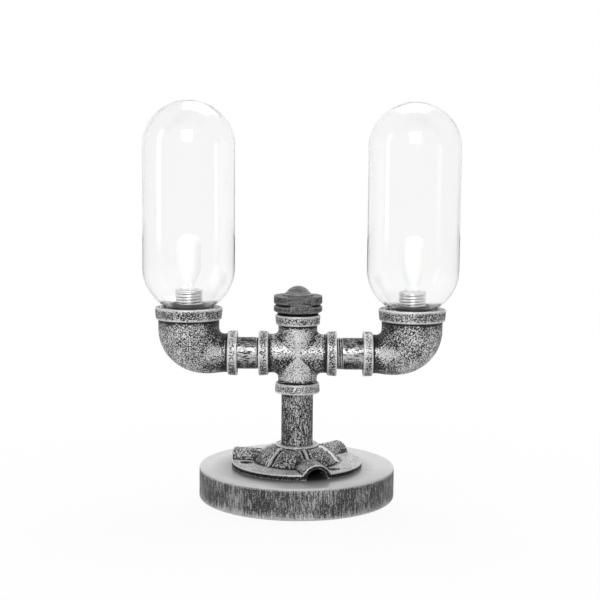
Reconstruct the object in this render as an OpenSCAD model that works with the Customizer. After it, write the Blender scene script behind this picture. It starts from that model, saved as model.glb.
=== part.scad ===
// Table lamp built from cast pipe fittings: a round wooden base, a ribbed floor flange,
// a stand pipe, a four-way cross with a dimmer knob, and two elbows that carry glass capsules.
// Millimetres. +Z is up and the origin is on the table, under the stand pipe's axis.
// The lamp is seen from -Y, so left is -X and the cord inlet at the back faces +Y.

/* [Base] */
// Diameter of the round wooden base
base_d = 154.8; // [146:1:200]
// Thickness of the wooden base
base_h = 24.4; // [22:0.2:40]
// Bevel round the base's top and bottom edges
base_edge = 1.4; // [0.4:0.1:3]
// Thickness of the felt pad under the base
felt_t = 1.4; // [1:0.1:3]
// How far the felt stands out below the wood
felt_proud = 0.6; // [0.2:0.1:0.8]
// Width of the wooden rim left round the felt
felt_rim = 4; // [2:0.5:8]
// Side play of the felt in its recess
felt_play = 0.2; // [0.1:0.05:0.5]
// Diameter of the wiring pocket under the base
pocket_d = 58; // [52:1:62]
// Depth of the wiring pocket, from the wood's underside
pocket_h = 15; // [13:0.5:17]
// Diameter of the wire hole up to the stand pipe
wire_hole_d = 17; // [12:0.5:22]

/* [Cord inlet] */
// Bore of the inlet bush, for a round mains cord
inlet_bore_d = 7; // [5:0.1:8]
// Hole for the bush through the back of the base
inlet_hole_d = 10.2; // [9:0.1:12]
// Diameter of the bush's outer flange
inlet_flange_d = 14.6; // [13:0.1:18]
// Thickness of the bush's outer flange
inlet_flange_t = 2; // [1.2:0.1:3]
// Length of the bush inside the wood
inlet_l = 14; // [8:0.5:20]
// Height of the inlet's axis above the wood's underside
inlet_rise = 9.4; // [8.6:0.1:12]

/* [Floor flange] */
// Diameter of the cast flange plate
flange_d = 103.4; // [98:0.2:120]
// Thickness of the cast flange plate
flange_t = 3.6; // [3:0.1:5]
// Outside diameter of the threaded hub
hub_d = 34.8; // [33.5:0.1:38]
// Height of the hub's face above the base
hub_h = 17.4; // [15:0.1:22]
// Depth of the domed panels below the hub's face
panel_drop = 1.8; // [1:0.1:3]
// How far the feet of the domed panels stay inside the plate's rim
panel_inset = 17.9; // [15.7:0.1:19.7]
// How far the domed foot draws in at each rib
scallop = 2; // [0.5:0.1:3]
// Wall of the domed panels
panel_wall = 4.5; // [3:0.1:5]
// How far the feet of the ribs stay inside the plate's rim
rib_inset = 15.5; // [11.7:0.1:17.2]
// Thickness of each rib
rib_t = 2.4; // [1.5:0.1:4]
// Number of ribs
rib_n = 6; // [6:6:6]
// Outside radius of the half-round cable hoods
hood_r = 11.4; // [10:0.1:12.5]
// Wall of the cable hoods
hood_wall = 3; // [2.4:0.1:5]
// Radius where the hoods run out onto the plate
hood_root = 2.2; // [1:0.1:2.4]
// Number of cable hoods and of screws
hood_n = 3; // [3:3:3]
// Direction of the front hood, anticlockwise from +X
hood_turn = -72; // [-80:1:-60]
// How far the circle of the flange screws stays inside the plate's rim
screw_inset = 10.7; // [8.7:0.1:11.7]
// Turn from each hood to the next screw
screw_turn = 26; // [24:1:34]
// Diameter of a flange screw
screw_d = 4.6; // [4:0.1:5]
// Diameter of a flange screw's countersunk head
screw_head_d = 9.6; // [8:0.1:10]
// Length of a flange screw
screw_l = 20; // [14:0.5:22]

/* [Pipe] */
// Outside diameter of the pipe
pipe_d = 25.1; // [24.4:0.1:25.8]
// Wall of the pipe
pipe_wall = 2.9; // [2:0.1:3.2]
// Length of pipe screwed into each fitting
thread_l = 12.6; // [10:0.1:12.8]
// Radial play left for a screwed thread
thread_play = 0.1; // [0.05:0.01:0.15]
// Space left past the end of a screwed pipe
thread_relief = 0.5; // [0.3:0.1:1]
// Height of the arms' axis above the table
arm_z = 114.6; // [105:0.2:140]
// Pipe showing between the cross and the left elbow
left_show = 16.8; // [10:0.2:30]
// Pipe showing between the cross and the right elbow
right_show = 20.8; // [10:0.2:30]

/* [Fittings] */
// Outside diameter of the fittings' necks
neck_d = 30.6; // [30.2:0.1:32]
// Wall of the fittings
fitting_wall = 3.5; // [3:0.1:3.8]
// Outside diameter of the end bands
band_d = 35.7; // [34.5:0.1:38]
// Width of the end bands
band_w = 7.4; // [6:0.1:9]
// Distance from the cross's centre to each face
cross_reach = 30.8; // [30:0.1:34]
// Radius in the inner corners of the fittings
corner_r = 4; // [3:0.1:4.6]
// Distance from an elbow's mouth axis to its arm face
elbow_reach = 38.5; // [37.8:0.1:44]
// Height of an elbow's mouth above the arms' axis
mouth_rise = 36.2; // [35.6:0.1:40]
// Outside diameter of the mouth band
mouth_d = 53.4; // [53:0.1:57]
// Height of the mouth band
mouth_band_h = 9.2; // [7:0.1:10]
// Outside diameter of the neck below the mouth band
mouth_neck_d = 48; // [47.4:0.1:49]
// Bore of the mouth
mouth_bore_d = 43; // [42.4:0.1:43.6]
// Depth of the seat in the mouth
seat_depth = 15.4; // [14:0.1:16.2]
// How fast the bend narrows, as an exponent
bend_share = 1.5; // [1.2:0.1:2]

/* [Dimmer and knob] */
// Diameter of the knob
knob_d = 38.2; // [36:0.1:42]
// Height of the knob
knob_h = 13.4; // [12:0.1:16]
// Height of the groove above the knob's underside
groove_rise = 5.9; // [5:0.1:8]
// Width of the finger groove
groove_w = 2.6; // [1.5:0.1:3.4]
// Depth of the finger groove
groove_depth = 1.8; // [1:0.1:2.4]
// Distance across the knob's two flats
knob_flats = 31.6; // [30:0.1:34]
// Direction that the knob's front flat faces, anticlockwise from the front
knob_faces = 9; // [-45:1:45]
// Bevel on the knob's edges
knob_bevel = 0.9; // [0.4:0.1:1.4]
// Gap between the knob and the plug
knob_gap = 0.4; // [0.3:0.05:1]
// Diameter of the plug's flange
plug_d = 32; // [28:0.1:34]
// Thickness of the plug's flange
plug_t = 1.8; // [1.4:0.1:2.6]
// Length of the plug in the cross
plug_l = 8; // [6:0.1:8.6]
// Diameter of the dimmer's body
dimmer_d = 20; // [17:0.1:20.6]
// Height of the dimmer's body
dimmer_h = 14; // [12:0.1:15]
// Outside diameter of the dimmer's threaded bush
bush_d = 9; // [8:0.1:9.4]
// Distance across the flats of the dimmer's nut
nut_flats = 13; // [12:0.1:14]
// Thickness of the dimmer's nut
nut_t = 2; // [1.6:0.1:2.2]
// Diameter of the dimmer's shaft
shaft_d = 6; // [5:0.1:6.4]
// Running play of the shaft in its bush
shaft_play = 0.05; // [0.03:0.01:0.08]
// Diameter of the washer on the knob
washer_d = 23.6; // [19:0.1:24]
// Thickness of the washer
washer_t = 1.3; // [0.8:0.1:2]
// Diameter of the domed cap
cap_d = 19.8; // [17:0.1:21]
// Height of the domed cap
cap_h = 6; // [4.6:0.1:7]

/* [Glass shades] */
// Outside diameter of the glass capsules
shade_d = 72.4; // [66:0.2:76]
// Thickness of the glass
shade_wall = 1.8; // [1.4:0.1:2.4]
// Height of the capsule's crown above the table
shade_top = 312.3; // [290:0.5:340]
// Height of the capsule's crown above its straight wall
crown_h = 34.5; // [30:0.5:36]
// Radius of the capsule's shoulder, where the crown meets the straight wall
shoulder_r = 27; // [20:0.5:29]
// Height of the capsule's lowest round above the mouth
shade_rise = 31.4; // [31:0.1:33]
// Outside diameter of the glass neck
glass_neck_d = 33; // [32:0.1:34]
// Side play of the glass neck in its seal
glass_play = 0.3; // [0.2:0.05:0.4]
// Gap under the glass neck
rest_gap = 0.3; // [0.2:0.05:0.4]
// Travel that lifts the glass clear of the bulb
lift = 76; // [74:1:100]

/* [Lampholder and bulb] */
// Outside diameter of the threaded sleeve
sleeve_d = 21.6; // [21:0.1:22]
// Wall of the threaded sleeve
sleeve_wall = 1.4; // [1:0.1:1.6]
// Height of the sleeve's end above the mouth
sleeve_rise = 13.6; // [12:0.1:16]
// Thickness of the plate that carries the sleeve
plate_t = 2.6; // [2:0.1:3.4]
// Distance across the flats of the lock nut under the plate
lock_flats = 26; // [24:0.1:28]
// Thickness of the lock nut
lock_t = 3; // [2:0.1:4]
// Outside diameter of the ring nut in the glass
ring_d = 26.4; // [25:0.1:27]
// Height of the ring nut
ring_h = 4.6; // [3:0.1:5]
// Length of the porcelain insert
insert_l = 18.6; // [18:0.1:20]
// Spacing of the bulb's two pins
pin_pitch = 9; // [8:0.1:9.4]
// Diameter of the pin wire
pin_d = 0.9; // [0.7:0.05:1]
// Width of a looped pin
pin_loop_w = 2.8; // [2.2:0.1:3]
// Length of the looped pins below the bulb's foot
pin_l = 14; // [12:0.1:14.6]
// Diameter of the bulb
bulb_d = 19; // [17:0.1:20]
// Height of the bulb's top above the mouth
bulb_rise = 57.2; // [54:0.2:60]
// Wall of the bulb's opal cover
bulb_wall = 1; // [0.8:0.1:1.4]
// Pull that frees the pins
bulb_pull = 15; // [14.8:0.1:18]

/* [Wiring] */
// Spacing of the two holes in the terminal block
block_pitch = 8; // [7:0.5:9]
// Diameter of one insulated lead
lead_d = 2.2; // [1.6:0.1:2.4]
// Gap between the two leads of a pair
lead_gap = 0.4; // [0.3:0.1:0.8]
// Inside bend of the leads
lead_bend = 4; // [3:0.1:4.6]

/* [Hidden] */
$fn = 96;

// Overrun that carries a cut clear of the face it opens
cut = 1;
// Colours, as the photograph shows them
grey_wood = "#9c9c9c";
pewter_iron = "#6e6e6e";
gunmetal = "#5c5c5c";
black_part = "#1e1e1e";
bright_steel = "#b9bcbf";
porcelain = "#f0efe9";
clear_glass = [0.93, 0.95, 0.96, 0.35];
opal_white = "#fbfbf8";

// Base
wood_z = felt_proud;
base_top = wood_z + base_h;
felt_d = base_d - 2 * felt_rim - 2 * felt_play;
felt_recess = felt_t - felt_proud;
pocket_top = wood_z + pocket_h;
inlet_z = wood_z + inlet_rise;
// Depth of the flat cut for the bush's flange, at the middle of the base's round side
inlet_flat = 2.4;
inlet_face = base_d / 2 - inlet_flat;
inlet_play = 0.1;
inlet_edge = 0.5;

// Terminal block
block_w = 20;
block_depth = 13;
block_h = 9;
block_y = 9;
block_hole_d = 3.4;
block_screw_d = 3;
// Length of each lead inside the block
block_grip = 9;

// Floor flange
hub_r = hub_d / 2;
flange_z = base_top;
bore_d = pipe_d + 2 * thread_play;
hood_gap = 360 / hood_n;
dome_h = hub_h - flange_t - panel_drop;
cavity_h = dome_h - panel_wall + flange_t;
panel_d = flange_d - 2 * panel_inset;
rib_d = flange_d - 2 * rib_inset;
screw_pcd = flange_d - 2 * screw_inset;
cavity_d = panel_d - 2 * panel_wall;
hub_bevel = 0.8;
// How far the panels reach into the hub, and how far the ribs stay below its bevel
dome_tuck = 1.5;
rib_drop = 1.1;
rim_bevel = 0.5;
// How far a run-out's arc dips into what it meets, so that it ends at a clean angle
root_dip = 0.2;
screw_play = 0.2;
screw_tip_d = 1.2;
screw_sunk = 0.3;
screw_slot_w = 1.2;
screw_slot_depth = 1;
// Depth that the pipe's foot stays above the wood
pipe_foot = 1.6;
// Fullness of the panels, and steps round and down them
panel_share = 0.8;
rib_share = 1;
round_steps = 60;
down_steps = 7;

// Pipe and fittings
cross_bottom = arm_z - cross_reach;
cross_top = arm_z + cross_reach;
neck_r = neck_d / 2;
bore_depth = thread_l + thread_relief;
way_r = neck_r - fitting_wall;
pipe_bevel = 0.8;
band_edge = 0.7;
band_draft = 0.4;
band_heel = 0.8;
left_x = -(cross_reach + left_show + elbow_reach);
right_x = cross_reach + right_show + elbow_reach;
rim_z = arm_z + mouth_rise;
seat_z = rim_z - seat_depth;
mouth_lip = 1;
mouth_draft = 0.9;
mouth_r = mouth_neck_d / 2;
pivot_x = mouth_r + corner_r;
pivot_z = neck_r + corner_r;
bend_steps = 12;
bend_sides = 36;
corner_steps = 12;
corner_sides = 6;
corner_span = 72;
// Radius of a corner web at its hidden ends, and how its radius falls off towards them
corner_end_r = 0.4;
corner_fade_share = 0.6;
// How far a corner web's arc dips into the necks, so that it meets them at a clean angle
corner_dip = 0.2;
// How deep a corner web is rooted between the necks
corner_root_share = 0.5;
// How much the bend is drawn in where it ends on the straight necks
bend_tuck = 0.08;

// Dimmer and knob
plug_top = cross_top + plug_t;
plug_bottom = cross_top - plug_l;
plug_groove = 0.4;
dimmer_top = plug_bottom;
dimmer_bottom = dimmer_top - dimmer_h;
bush_play = 0.1;
bush_over = 0.3;
bush_show = nut_t + bush_over;
bush_top = plug_top + bush_show;
knob_z = plug_top + knob_gap;
knob_top = knob_z + knob_h;
knob_recess_share = 1.6;
knob_recess_d = knob_recess_share * nut_flats;
knob_recess_h = bush_show + knob_gap;
knob_web = 2.4;
shaft_top = knob_top - knob_web;
shaft_flat = 0.8;
knob_fit = 0.05;
knob_screw_d = 3;
knob_screw_hole = 7;
knob_screw_relief = 1;
knob_screw_head_d = 6;
knob_screw_head_h = 2;
knob_screw_edge = 0.5;
washer_bevel = 0.3;
washer_z = knob_top;
cap_z = washer_z + washer_t;
cap_play = 0.4;
cap_hollow_d = knob_screw_head_d + 2 * cap_play;
cap_hollow_h = knob_screw_head_h + cap_play;
cap_edge = 0.8;

// Lampholder
plate_play = 0.1;
plate_d = mouth_bore_d - 2 * plate_play;
plate_z = seat_z;
seal_z = plate_z + plate_t;
seal_floor_t = 1.8;
seal_drop = 2.4;
seal_top = rim_z - seal_drop;
sleeve_top = rim_z + sleeve_rise;
sleeve_tail = 2;
sleeve_bottom = plate_z - lock_t - sleeve_tail;
screw_fit = 0.1;
sleeve_r = sleeve_d / 2;
sleeve_bore_r = sleeve_r - sleeve_wall;
ring_drop = 1.4;
ring_z = rim_z - ring_drop;
ring_bevel = 0.6;
insert_play = 0.1;
insert_rise = 0.4;
insert_top = sleeve_top + insert_rise;
insert_bottom = insert_top - insert_l;
slot_play = 0.45;
slot_w = pin_loop_w + 2 * slot_play;
slot_t = 2.4;
slot_floor = 1.6;
contact_t = 0.4;
contact_gap = 0.2;
contact_w = pin_loop_w;
contact_drop = 2;
contact_l = insert_l - slot_floor - contact_drop;
tail_d = 1.4;

// Glass
shade_r = shade_d / 2;
glass_in = shade_r - shade_wall;
low_z = rim_z + shade_rise;
high_z = shade_top - crown_h;
glass_neck_r = glass_neck_d / 2;
glass_neck_in = glass_neck_r - shade_wall;
glass_foot = seal_z + seal_floor_t + rest_gap;
crown_r = (pow(shade_r - shoulder_r, 2) + crown_h * crown_h - shoulder_r * shoulder_r)
    / (2 * (crown_h - shoulder_r));
crown_turn = asin((shade_r - shoulder_r) / (crown_r - shoulder_r));

// Bulb
bulb_top = rim_z + bulb_rise;
bulb_r = bulb_d / 2;
foot_gap = 0.3;
foot_z = insert_top + foot_gap;
foot_w = 14.6;
foot_t = 8;
foot_h = 2.6;
foot_round = 1.4;
// Block on the foot that holds the opal cover from inside
key_w = 8.4;
key_t = 4;
key_h = 4.4;
cover_z = foot_z + foot_h;
cover_w = 15;
cover_t = 8.8;
// Height over which the cover swells from its flat foot to its full round
cover_swell_h = 14.6;
// How far the pinched faces run out past the round, so that they end on it cleanly
cover_over = 0.8;
pin_bottom = foot_z - pin_l;
pin_root = 1;

// Leads
lead_r = lead_d / 2;
lead_side = lead_r + lead_gap / 2;
feed_x = block_pitch / 2;
lead_out = 5.4;
lead_turn = lead_bend + lead_r;
block_lead_z = pocket_top - block_h / 2;
feed_y = block_y - lead_turn;

// Solid skinned over rings that all have the same number of points
module skin(rings) {
    n = len(rings[0]);
    m = len(rings);
    walls = [for (i = [0:m - 2], j = [0:n - 1])
        let (k = (j + 1) % n, a = i * n, b = a + n)
        each [[a + j, b + k, a + k], [a + j, b + j, b + k]]];
    low = [for (j = [0:n - 1]) j];
    high = [for (j = [n - 1:-1:0]) (m - 1) * n + j];
    polyhedron([for (r = rings) each r], concat(walls, [low, high]));
}

// Disc with both edges bevelled
module bevelled_disc(d, h, bevel) {
    r = d / 2;
    rotate_extrude()
        polygon([[0, 0], [r - bevel, 0], [r, bevel], [r, h - bevel], [r - bevel, h], [0, h]]);
}

// Tube with both ends open
module tube(d, wall, h) {
    difference() {
        cylinder(d = d, h = h);
        translate([0, 0, -cut]) cylinder(d = d - 2 * wall, h = h + 2 * cut);
    }
}

// Hexagon bar, by the distance across its flats
module hex_bar(flats, h) {
    cylinder(d = flats / cos(30), h = h, $fn = 6);
}

// Copies at the cable hoods' directions, and at the screws' places between them
module at_hoods() {
    for (k = [0:hood_n - 1]) rotate([0, 0, hood_turn + k * hood_gap]) children();
}
module at_screws() {
    for (k = [0:hood_n - 1])
        rotate([0, 0, hood_turn + screw_turn + k * hood_gap])
            translate([screw_pcd / 2, 0, flange_z]) children();
}

module base_disc() {
    color(grey_wood)
    difference() {
        translate([0, 0, wood_z]) bevelled_disc(base_d, base_h, base_edge);
        translate([0, 0, wood_z - cut]) cylinder(d = felt_d + 2 * felt_play, h = cut + felt_recess);
        translate([0, 0, wood_z]) cylinder(d = pocket_d, h = pocket_h);
        translate([0, 0, wood_z]) cylinder(d = wire_hole_d, h = base_h + cut);
        translate([0, 0, inlet_z]) rotate([-90, 0, 0]) cylinder(d = inlet_hole_d, h = base_d);
        translate([0, inlet_face, inlet_z]) rotate([-90, 0, 0])
            cylinder(d = inlet_flange_d + 2 * inlet_play, h = base_d);
        at_screws() translate([0, 0, -screw_l]) cylinder(d = screw_d + screw_play, h = screw_l + cut);
    }
}

module base_felt() {
    color(black_part) cylinder(d = felt_d, h = felt_t);
}

module cord_bush() {
    color(black_part)
    translate([0, inlet_face, inlet_z]) rotate([-90, 0, 0])
    difference() {
        union() {
            translate([0, 0, -inlet_l]) cylinder(d = inlet_hole_d - 2 * inlet_play, h = inlet_l);
            bevelled_disc(inlet_flange_d, inlet_flange_t, inlet_edge);
        }
        translate([0, 0, -inlet_l - cut])
            cylinder(d = inlet_bore_d, h = inlet_l + inlet_flange_t + 2 * cut);
    }
}

// Two-way block screwed up into the pocket, with its wire holes facing the pipe
module terminal_block() {
    color(porcelain)
    translate([0, block_y, pocket_top - block_h])
    difference() {
        translate([-block_w / 2, 0, 0]) cube([block_w, block_depth, block_h]);
        for (x = [-feed_x, feed_x]) {
            translate([x, -cut, block_h / 2]) rotate([-90, 0, 0])
                cylinder(d = block_hole_d, h = block_depth + 2 * cut);
            translate([x, block_depth / 2, -cut])
                cylinder(d = block_screw_d, h = block_h / 2 + cut);
        }
    }
}

// Rib or panel height at a share of the way from the hub to the foot
function fall(share, power) = pow(cos(90 * share), power);

// One ring of the scalloped dome. The panels swell between the ribs
function dome_ring(share) = [for (i = [0:round_steps - 1])
    let (a = i * 360 / round_steps,
        swell = abs(sin(rib_n / 2 * (a - hood_turn))),
        foot = panel_d / 2 - scallop * (1 - sqrt(swell)),
        root = hub_r - dome_tuck,
        r = root + (foot - root) * share,
        z = dome_h * fall(share, rib_share + (panel_share - rib_share) * swell))
    [r * cos(a), r * sin(a), flange_t + z]];

module panel_dome() {
    sunk = [for (p = dome_ring(1)) [p[0], p[1], flange_t / 2]];
    skin(concat([sunk], [for (i = [down_steps:-1:0]) dome_ring(i / down_steps)]));
}

module flange_rib() {
    steps = [for (i = [0:down_steps]) i / down_steps];
    rotate([90, 0, 0])
    linear_extrude(rib_t, center = true)
        polygon(concat([[hub_r - cut, 0], [hub_r - cut, hub_h - rib_drop]],
            [for (s = steps) [hub_r + (rib_d / 2 - hub_r) * s,
                flange_t / 2 + (hub_h - flange_t / 2 - rib_drop) * fall(s, rib_share)]],
            [[rib_d / 2, 0]]));
}

// Outline of a hood across its length, with a round run-out onto the plate on each side
module hood_outline() {
    reach = hood_r + hood_root - root_dip;
    up = flange_t + hood_root - root_dip;
    out = sqrt(reach * reach - up * up);
    touch_share = (hood_r - root_dip) / reach;
    intersection() {
        circle(r = hood_r);
        translate([-hood_r, 0]) square([2 * hood_r, hood_r]);
    }
    for (side = [0, 1]) mirror([side, 0])
        difference() {
            translate([touch_share * out, 0]) square([(1 - touch_share) * out, touch_share * up]);
            translate([out, up]) circle(r = hood_root);
        }
}

// Hood from inside the dome out past the plate's rim
module hood() {
    rotate([90, 0, 90]) linear_extrude(flange_d) hood_outline();
}

// Half-round way under a hood, open downwards
module hood_way() {
    r = hood_r - hood_wall;
    rotate([0, 90, 0]) cylinder(r = r, h = flange_d);
}

module floor_flange() {
    color(pewter_iron)
    translate([0, 0, flange_z])
    difference() {
        union() {
            bevelled_disc(flange_d, flange_t, rim_bevel);
            panel_dome();
            bevelled_disc(hub_d, hub_h, hub_bevel);
            for (k = [0:rib_n - 1]) rotate([0, 0, hood_turn + k * 360 / rib_n]) flange_rib();
            intersection() {
                at_hoods() hood();
                cylinder(d = flange_d, h = hub_h);
            }
        }
        // Hollow under the panels, round the threaded hub
        difference() {
            rotate_extrude()
                polygon(concat([[0, -cut], [0, cavity_h]],
                    [for (i = [0:down_steps]) let (s = i / down_steps)
                        [hub_r + (cavity_d / 2 - hub_r) * s, cavity_h * fall(s, rib_share)]],
                    [[cavity_d / 2, -cut]]));
            translate([0, 0, -2 * cut]) cylinder(r = hub_r, h = hub_h);
        }
        difference() {
            at_hoods() hood_way();
            translate([0, 0, -hood_r]) cylinder(r = hub_r, h = hood_r + hub_h);
        }
        translate([0, 0, -cut]) cylinder(d = bore_d, h = hub_h + 2 * cut);
        translate([0, 0, -flange_z]) at_screws() {
            translate([0, 0, -cut]) cylinder(d = screw_d + 2 * screw_play, h = flange_t + 2 * cut);
            translate([0, 0, flange_t]) screw_head(screw_head_d + 2 * screw_sunk + screw_play, cut);
        }
    }
}

// Countersunk head below z = 0, with a straight part of the given height above it
module screw_head(d, above) {
    depth = (d - screw_d) / 2;
    translate([0, 0, -depth]) cylinder(d1 = screw_d, d2 = d, h = depth);
    if (above > 0) cylinder(d = d, h = above);
}

module flange_screws() {
    tip = screw_d;
    neck = (screw_head_d - screw_d) / 2;
    color(bright_steel)
    at_screws() translate([0, 0, flange_t - screw_sunk])
    difference() {
        union() {
            screw_head(screw_head_d, 0);
            translate([0, 0, -screw_l + tip]) cylinder(d = screw_d, h = screw_l - tip - neck);
            translate([0, 0, -screw_l]) cylinder(d1 = screw_tip_d, d2 = screw_d, h = tip);
        }
        for (a = [0, 90]) rotate([0, 0, a])
            translate([-screw_d / 2, -screw_slot_w / 2, -screw_slot_depth])
                cube([screw_d, screw_slot_w, screw_slot_depth + cut]);
    }
}

// Pipe along +Z with bevelled ends
module pipe(l) {
    difference() {
        bevelled_disc(pipe_d, l, pipe_bevel);
        translate([0, 0, -cut]) cylinder(d = pipe_d - 2 * pipe_wall, h = l + 2 * cut);
    }
}

module stand_pipe() {
    foot = flange_z + pipe_foot;
    color(pewter_iron)
    translate([0, 0, foot]) pipe(cross_bottom + thread_l - foot);
}

module left_nipple() {
    color(pewter_iron)
    translate([-cross_reach + thread_l, 0, arm_z]) rotate([0, -90, 0]) pipe(left_show + 2 * thread_l);
}

module right_nipple() {
    color(pewter_iron)
    translate([cross_reach - thread_l, 0, arm_z]) rotate([0, 90, 0]) pipe(right_show + 2 * thread_l);
}

// End band of a fitting: its open face is at z = 0 and its heel runs down onto the neck
module band(d, w, neck, edge, draft) {
    r = d / 2;
    rotate_extrude()
        polygon([[0, 0], [r - edge, 0], [r, -edge], [r - draft, -w + edge], [r - draft - edge, -w],
            [neck / 2, -w - band_heel], [0, -w - band_heel]]);
}

// Rounded web in the corner between two necks of the cross, which fades towards its ends
module corner_web() {
    function ring(t) = let (a = neck_r * cos(t), y = neck_r * sin(t),
            fade = pow(cos(90 * t / corner_span), corner_fade_share),
            r = corner_end_r + (corner_r - corner_end_r) * fade,
            root = a * corner_root_share, c = a + r - corner_dip)
        concat([[root, y, c], [root, y, root], [c, y, root]],
            [for (i = [0:corner_sides]) let (b = 270 - 90 * i / corner_sides)
                [c + r * cos(b), y, c + r * sin(b)]]);
    skin([for (i = [corner_steps:-1:0]) ring(corner_span * (2 * i / corner_steps - 1))]);
}

module pipe_cross() {
    color(pewter_iron)
    translate([0, 0, arm_z])
    difference() {
        for (a = [0, 90, 180, 270]) rotate([0, a, 0]) {
            cylinder(r = neck_r, h = cross_reach - band_w);
            translate([0, 0, cross_reach]) band(band_d, band_w, neck_d, band_edge, band_draft);
            corner_web();
        }
        for (a = [0, 90]) rotate([0, a, 0]) {
            translate([0, 0, -cross_reach]) cylinder(r = way_r, h = 2 * cross_reach);
            for (side = [-1, 1]) translate([0, 0, side * (cross_reach - bore_depth / 2)])
                cylinder(d = bore_d, h = bore_depth + cut, center = true);
        }
    }
}

// Radius of an elbow's bend, from the mouth at 0 degrees to the arm at 90 degrees
function bend_r(t) = neck_r + (mouth_r - neck_r) * pow(cos(t), bend_share);

// Bend between the mouth's neck and the arm's neck, drawn in by a wall for the way inside it
module bend(wall) {
    skin([for (i = [0:bend_steps])
        let (t = 90 * i / bend_steps, far = corner_r + bend_r(t), r = bend_r(t) - wall)
        [for (j = [0:bend_sides - 1])
            let (a = 360 * j / bend_sides, d = far + r * cos(a))
            [pivot_x - d * cos(t), r * sin(a), pivot_z - d * sin(t)]]]);
}

// Reducing elbow with its mouth up at x = 0 and its arm towards +X
module elbow() {
    difference() {
        union() {
            bend(bend_tuck);
            translate([0, 0, pivot_z]) cylinder(r = mouth_r, h = mouth_rise - mouth_band_h - pivot_z);
            translate([pivot_x, 0, 0]) rotate([0, 90, 0])
                cylinder(r = neck_r, h = elbow_reach - band_w - pivot_x);
            translate([0, 0, mouth_rise])
                band(mouth_d, mouth_band_h, mouth_neck_d, mouth_lip, mouth_draft);
            translate([elbow_reach, 0, 0]) rotate([0, 90, 0])
                band(band_d, band_w, neck_d, band_edge, band_draft);
        }
        bend(fitting_wall + bend_tuck);
        translate([0, 0, pivot_z]) cylinder(r = mouth_r - fitting_wall, h = mouth_rise);
        translate([0, 0, mouth_rise - seat_depth]) cylinder(d = mouth_bore_d, h = seat_depth + cut);
        translate([pivot_x, 0, 0]) rotate([0, 90, 0]) cylinder(r = way_r, h = elbow_reach);
        translate([elbow_reach - bore_depth, 0, 0]) rotate([0, 90, 0])
            cylinder(d = bore_d, h = bore_depth + cut);
    }
}

module left_elbow() {
    color(pewter_iron) translate([left_x, 0, arm_z]) elbow();
}

module right_elbow() {
    color(pewter_iron) translate([right_x, 0, arm_z]) mirror([1, 0, 0]) elbow();
}

// Plug that closes the top of the cross and carries the dimmer
module top_plug() {
    color(black_part)
    difference() {
        union() {
            translate([0, 0, cross_top]) bevelled_disc(plug_d, plug_t, plug_groove);
            translate([0, 0, plug_bottom]) cylinder(d = pipe_d, h = plug_l);
        }
        translate([0, 0, plug_bottom - cut])
            cylinder(d = bush_d + 2 * bush_play, h = plug_l + plug_t + 2 * cut);
    }
}

module dimmer_body() {
    color(gunmetal)
    difference() {
        union() {
            translate([0, 0, dimmer_bottom]) bevelled_disc(dimmer_d, dimmer_h, pipe_bevel);
            translate([0, 0, dimmer_top]) cylinder(d = bush_d, h = bush_top - dimmer_top);
        }
        translate([0, 0, dimmer_bottom + dimmer_h / 2])
            cylinder(d = shaft_d + 2 * shaft_play, h = bush_top);
    }
}

module dimmer_nut() {
    color(bright_steel)
    translate([0, 0, plug_top])
    difference() {
        hex_bar(nut_flats, nut_t);
        translate([0, 0, -cut]) cylinder(d = bush_d + 2 * bush_play, h = nut_t + 2 * cut);
    }
}

// Shaft with a flat where the knob grips it, drilled for the knob's screw
module dimmer_shaft() {
    low = dimmer_bottom + dimmer_h / 2 + shaft_play;
    color(bright_steel)
    rotate([0, 0, knob_faces])
    difference() {
        translate([0, 0, low]) cylinder(d = shaft_d, h = shaft_top - low);
        translate([-shaft_d, shaft_d / 2 - shaft_flat, bush_top + knob_gap])
            cube([2 * shaft_d, shaft_d, shaft_top]);
        translate([0, 0, shaft_top - knob_screw_hole])
            cylinder(d = knob_screw_d, h = knob_screw_hole + cut);
    }
}

// Round knob with a finger groove, two flats across it, and a recess over the dimmer's nut
module knob() {
    r = knob_d / 2;
    mid = groove_rise;
    color(gunmetal)
    translate([0, 0, knob_z]) rotate([0, 0, knob_faces])
    difference() {
        rotate_extrude()
            polygon([[0, 0], [r - 2 * knob_bevel, 0], [r, knob_bevel], [r, mid - groove_w / 2],
                [r - groove_depth, mid], [r, mid + groove_w / 2], [r, knob_h - knob_bevel],
                [r - knob_bevel, knob_h], [0, knob_h]]);
        for (side = [-1, 1])
            translate([-knob_d / 2, side > 0 ? knob_flats / 2 : -knob_flats / 2 - knob_d, -cut])
                cube([knob_d, knob_d, knob_h + 2 * cut]);
        translate([0, 0, -cut]) cylinder(d = knob_recess_d, h = cut + knob_recess_h);
        difference() {
            cylinder(d = shaft_d + 2 * knob_fit, h = knob_h - knob_web);
            translate([-shaft_d, shaft_d / 2 - shaft_flat + knob_fit, knob_recess_h])
                cube([2 * shaft_d, shaft_d, knob_h]);
        }
        cylinder(d = knob_screw_d + 2 * knob_fit, h = knob_h + cut);
    }
}

module knob_washer() {
    color(gunmetal)
    translate([0, 0, washer_z])
    difference() {
        bevelled_disc(washer_d, washer_t, washer_bevel);
        translate([0, 0, -cut]) cylinder(d = knob_screw_d + 2 * knob_fit, h = washer_t + 2 * cut);
    }
}

module knob_screw() {
    tip = shaft_top - knob_screw_hole + knob_screw_relief;
    color(bright_steel)
    difference() {
        union() {
            translate([0, 0, tip]) cylinder(d = knob_screw_d - 2 * knob_fit, h = cap_z - tip);
            translate([0, 0, cap_z])
                bevelled_disc(knob_screw_head_d, knob_screw_head_h, knob_screw_edge);
        }
        translate([0, 0, cap_z + knob_screw_head_h / 2]) hex_bar(knob_screw_d, knob_screw_head_h);
    }
}

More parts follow.
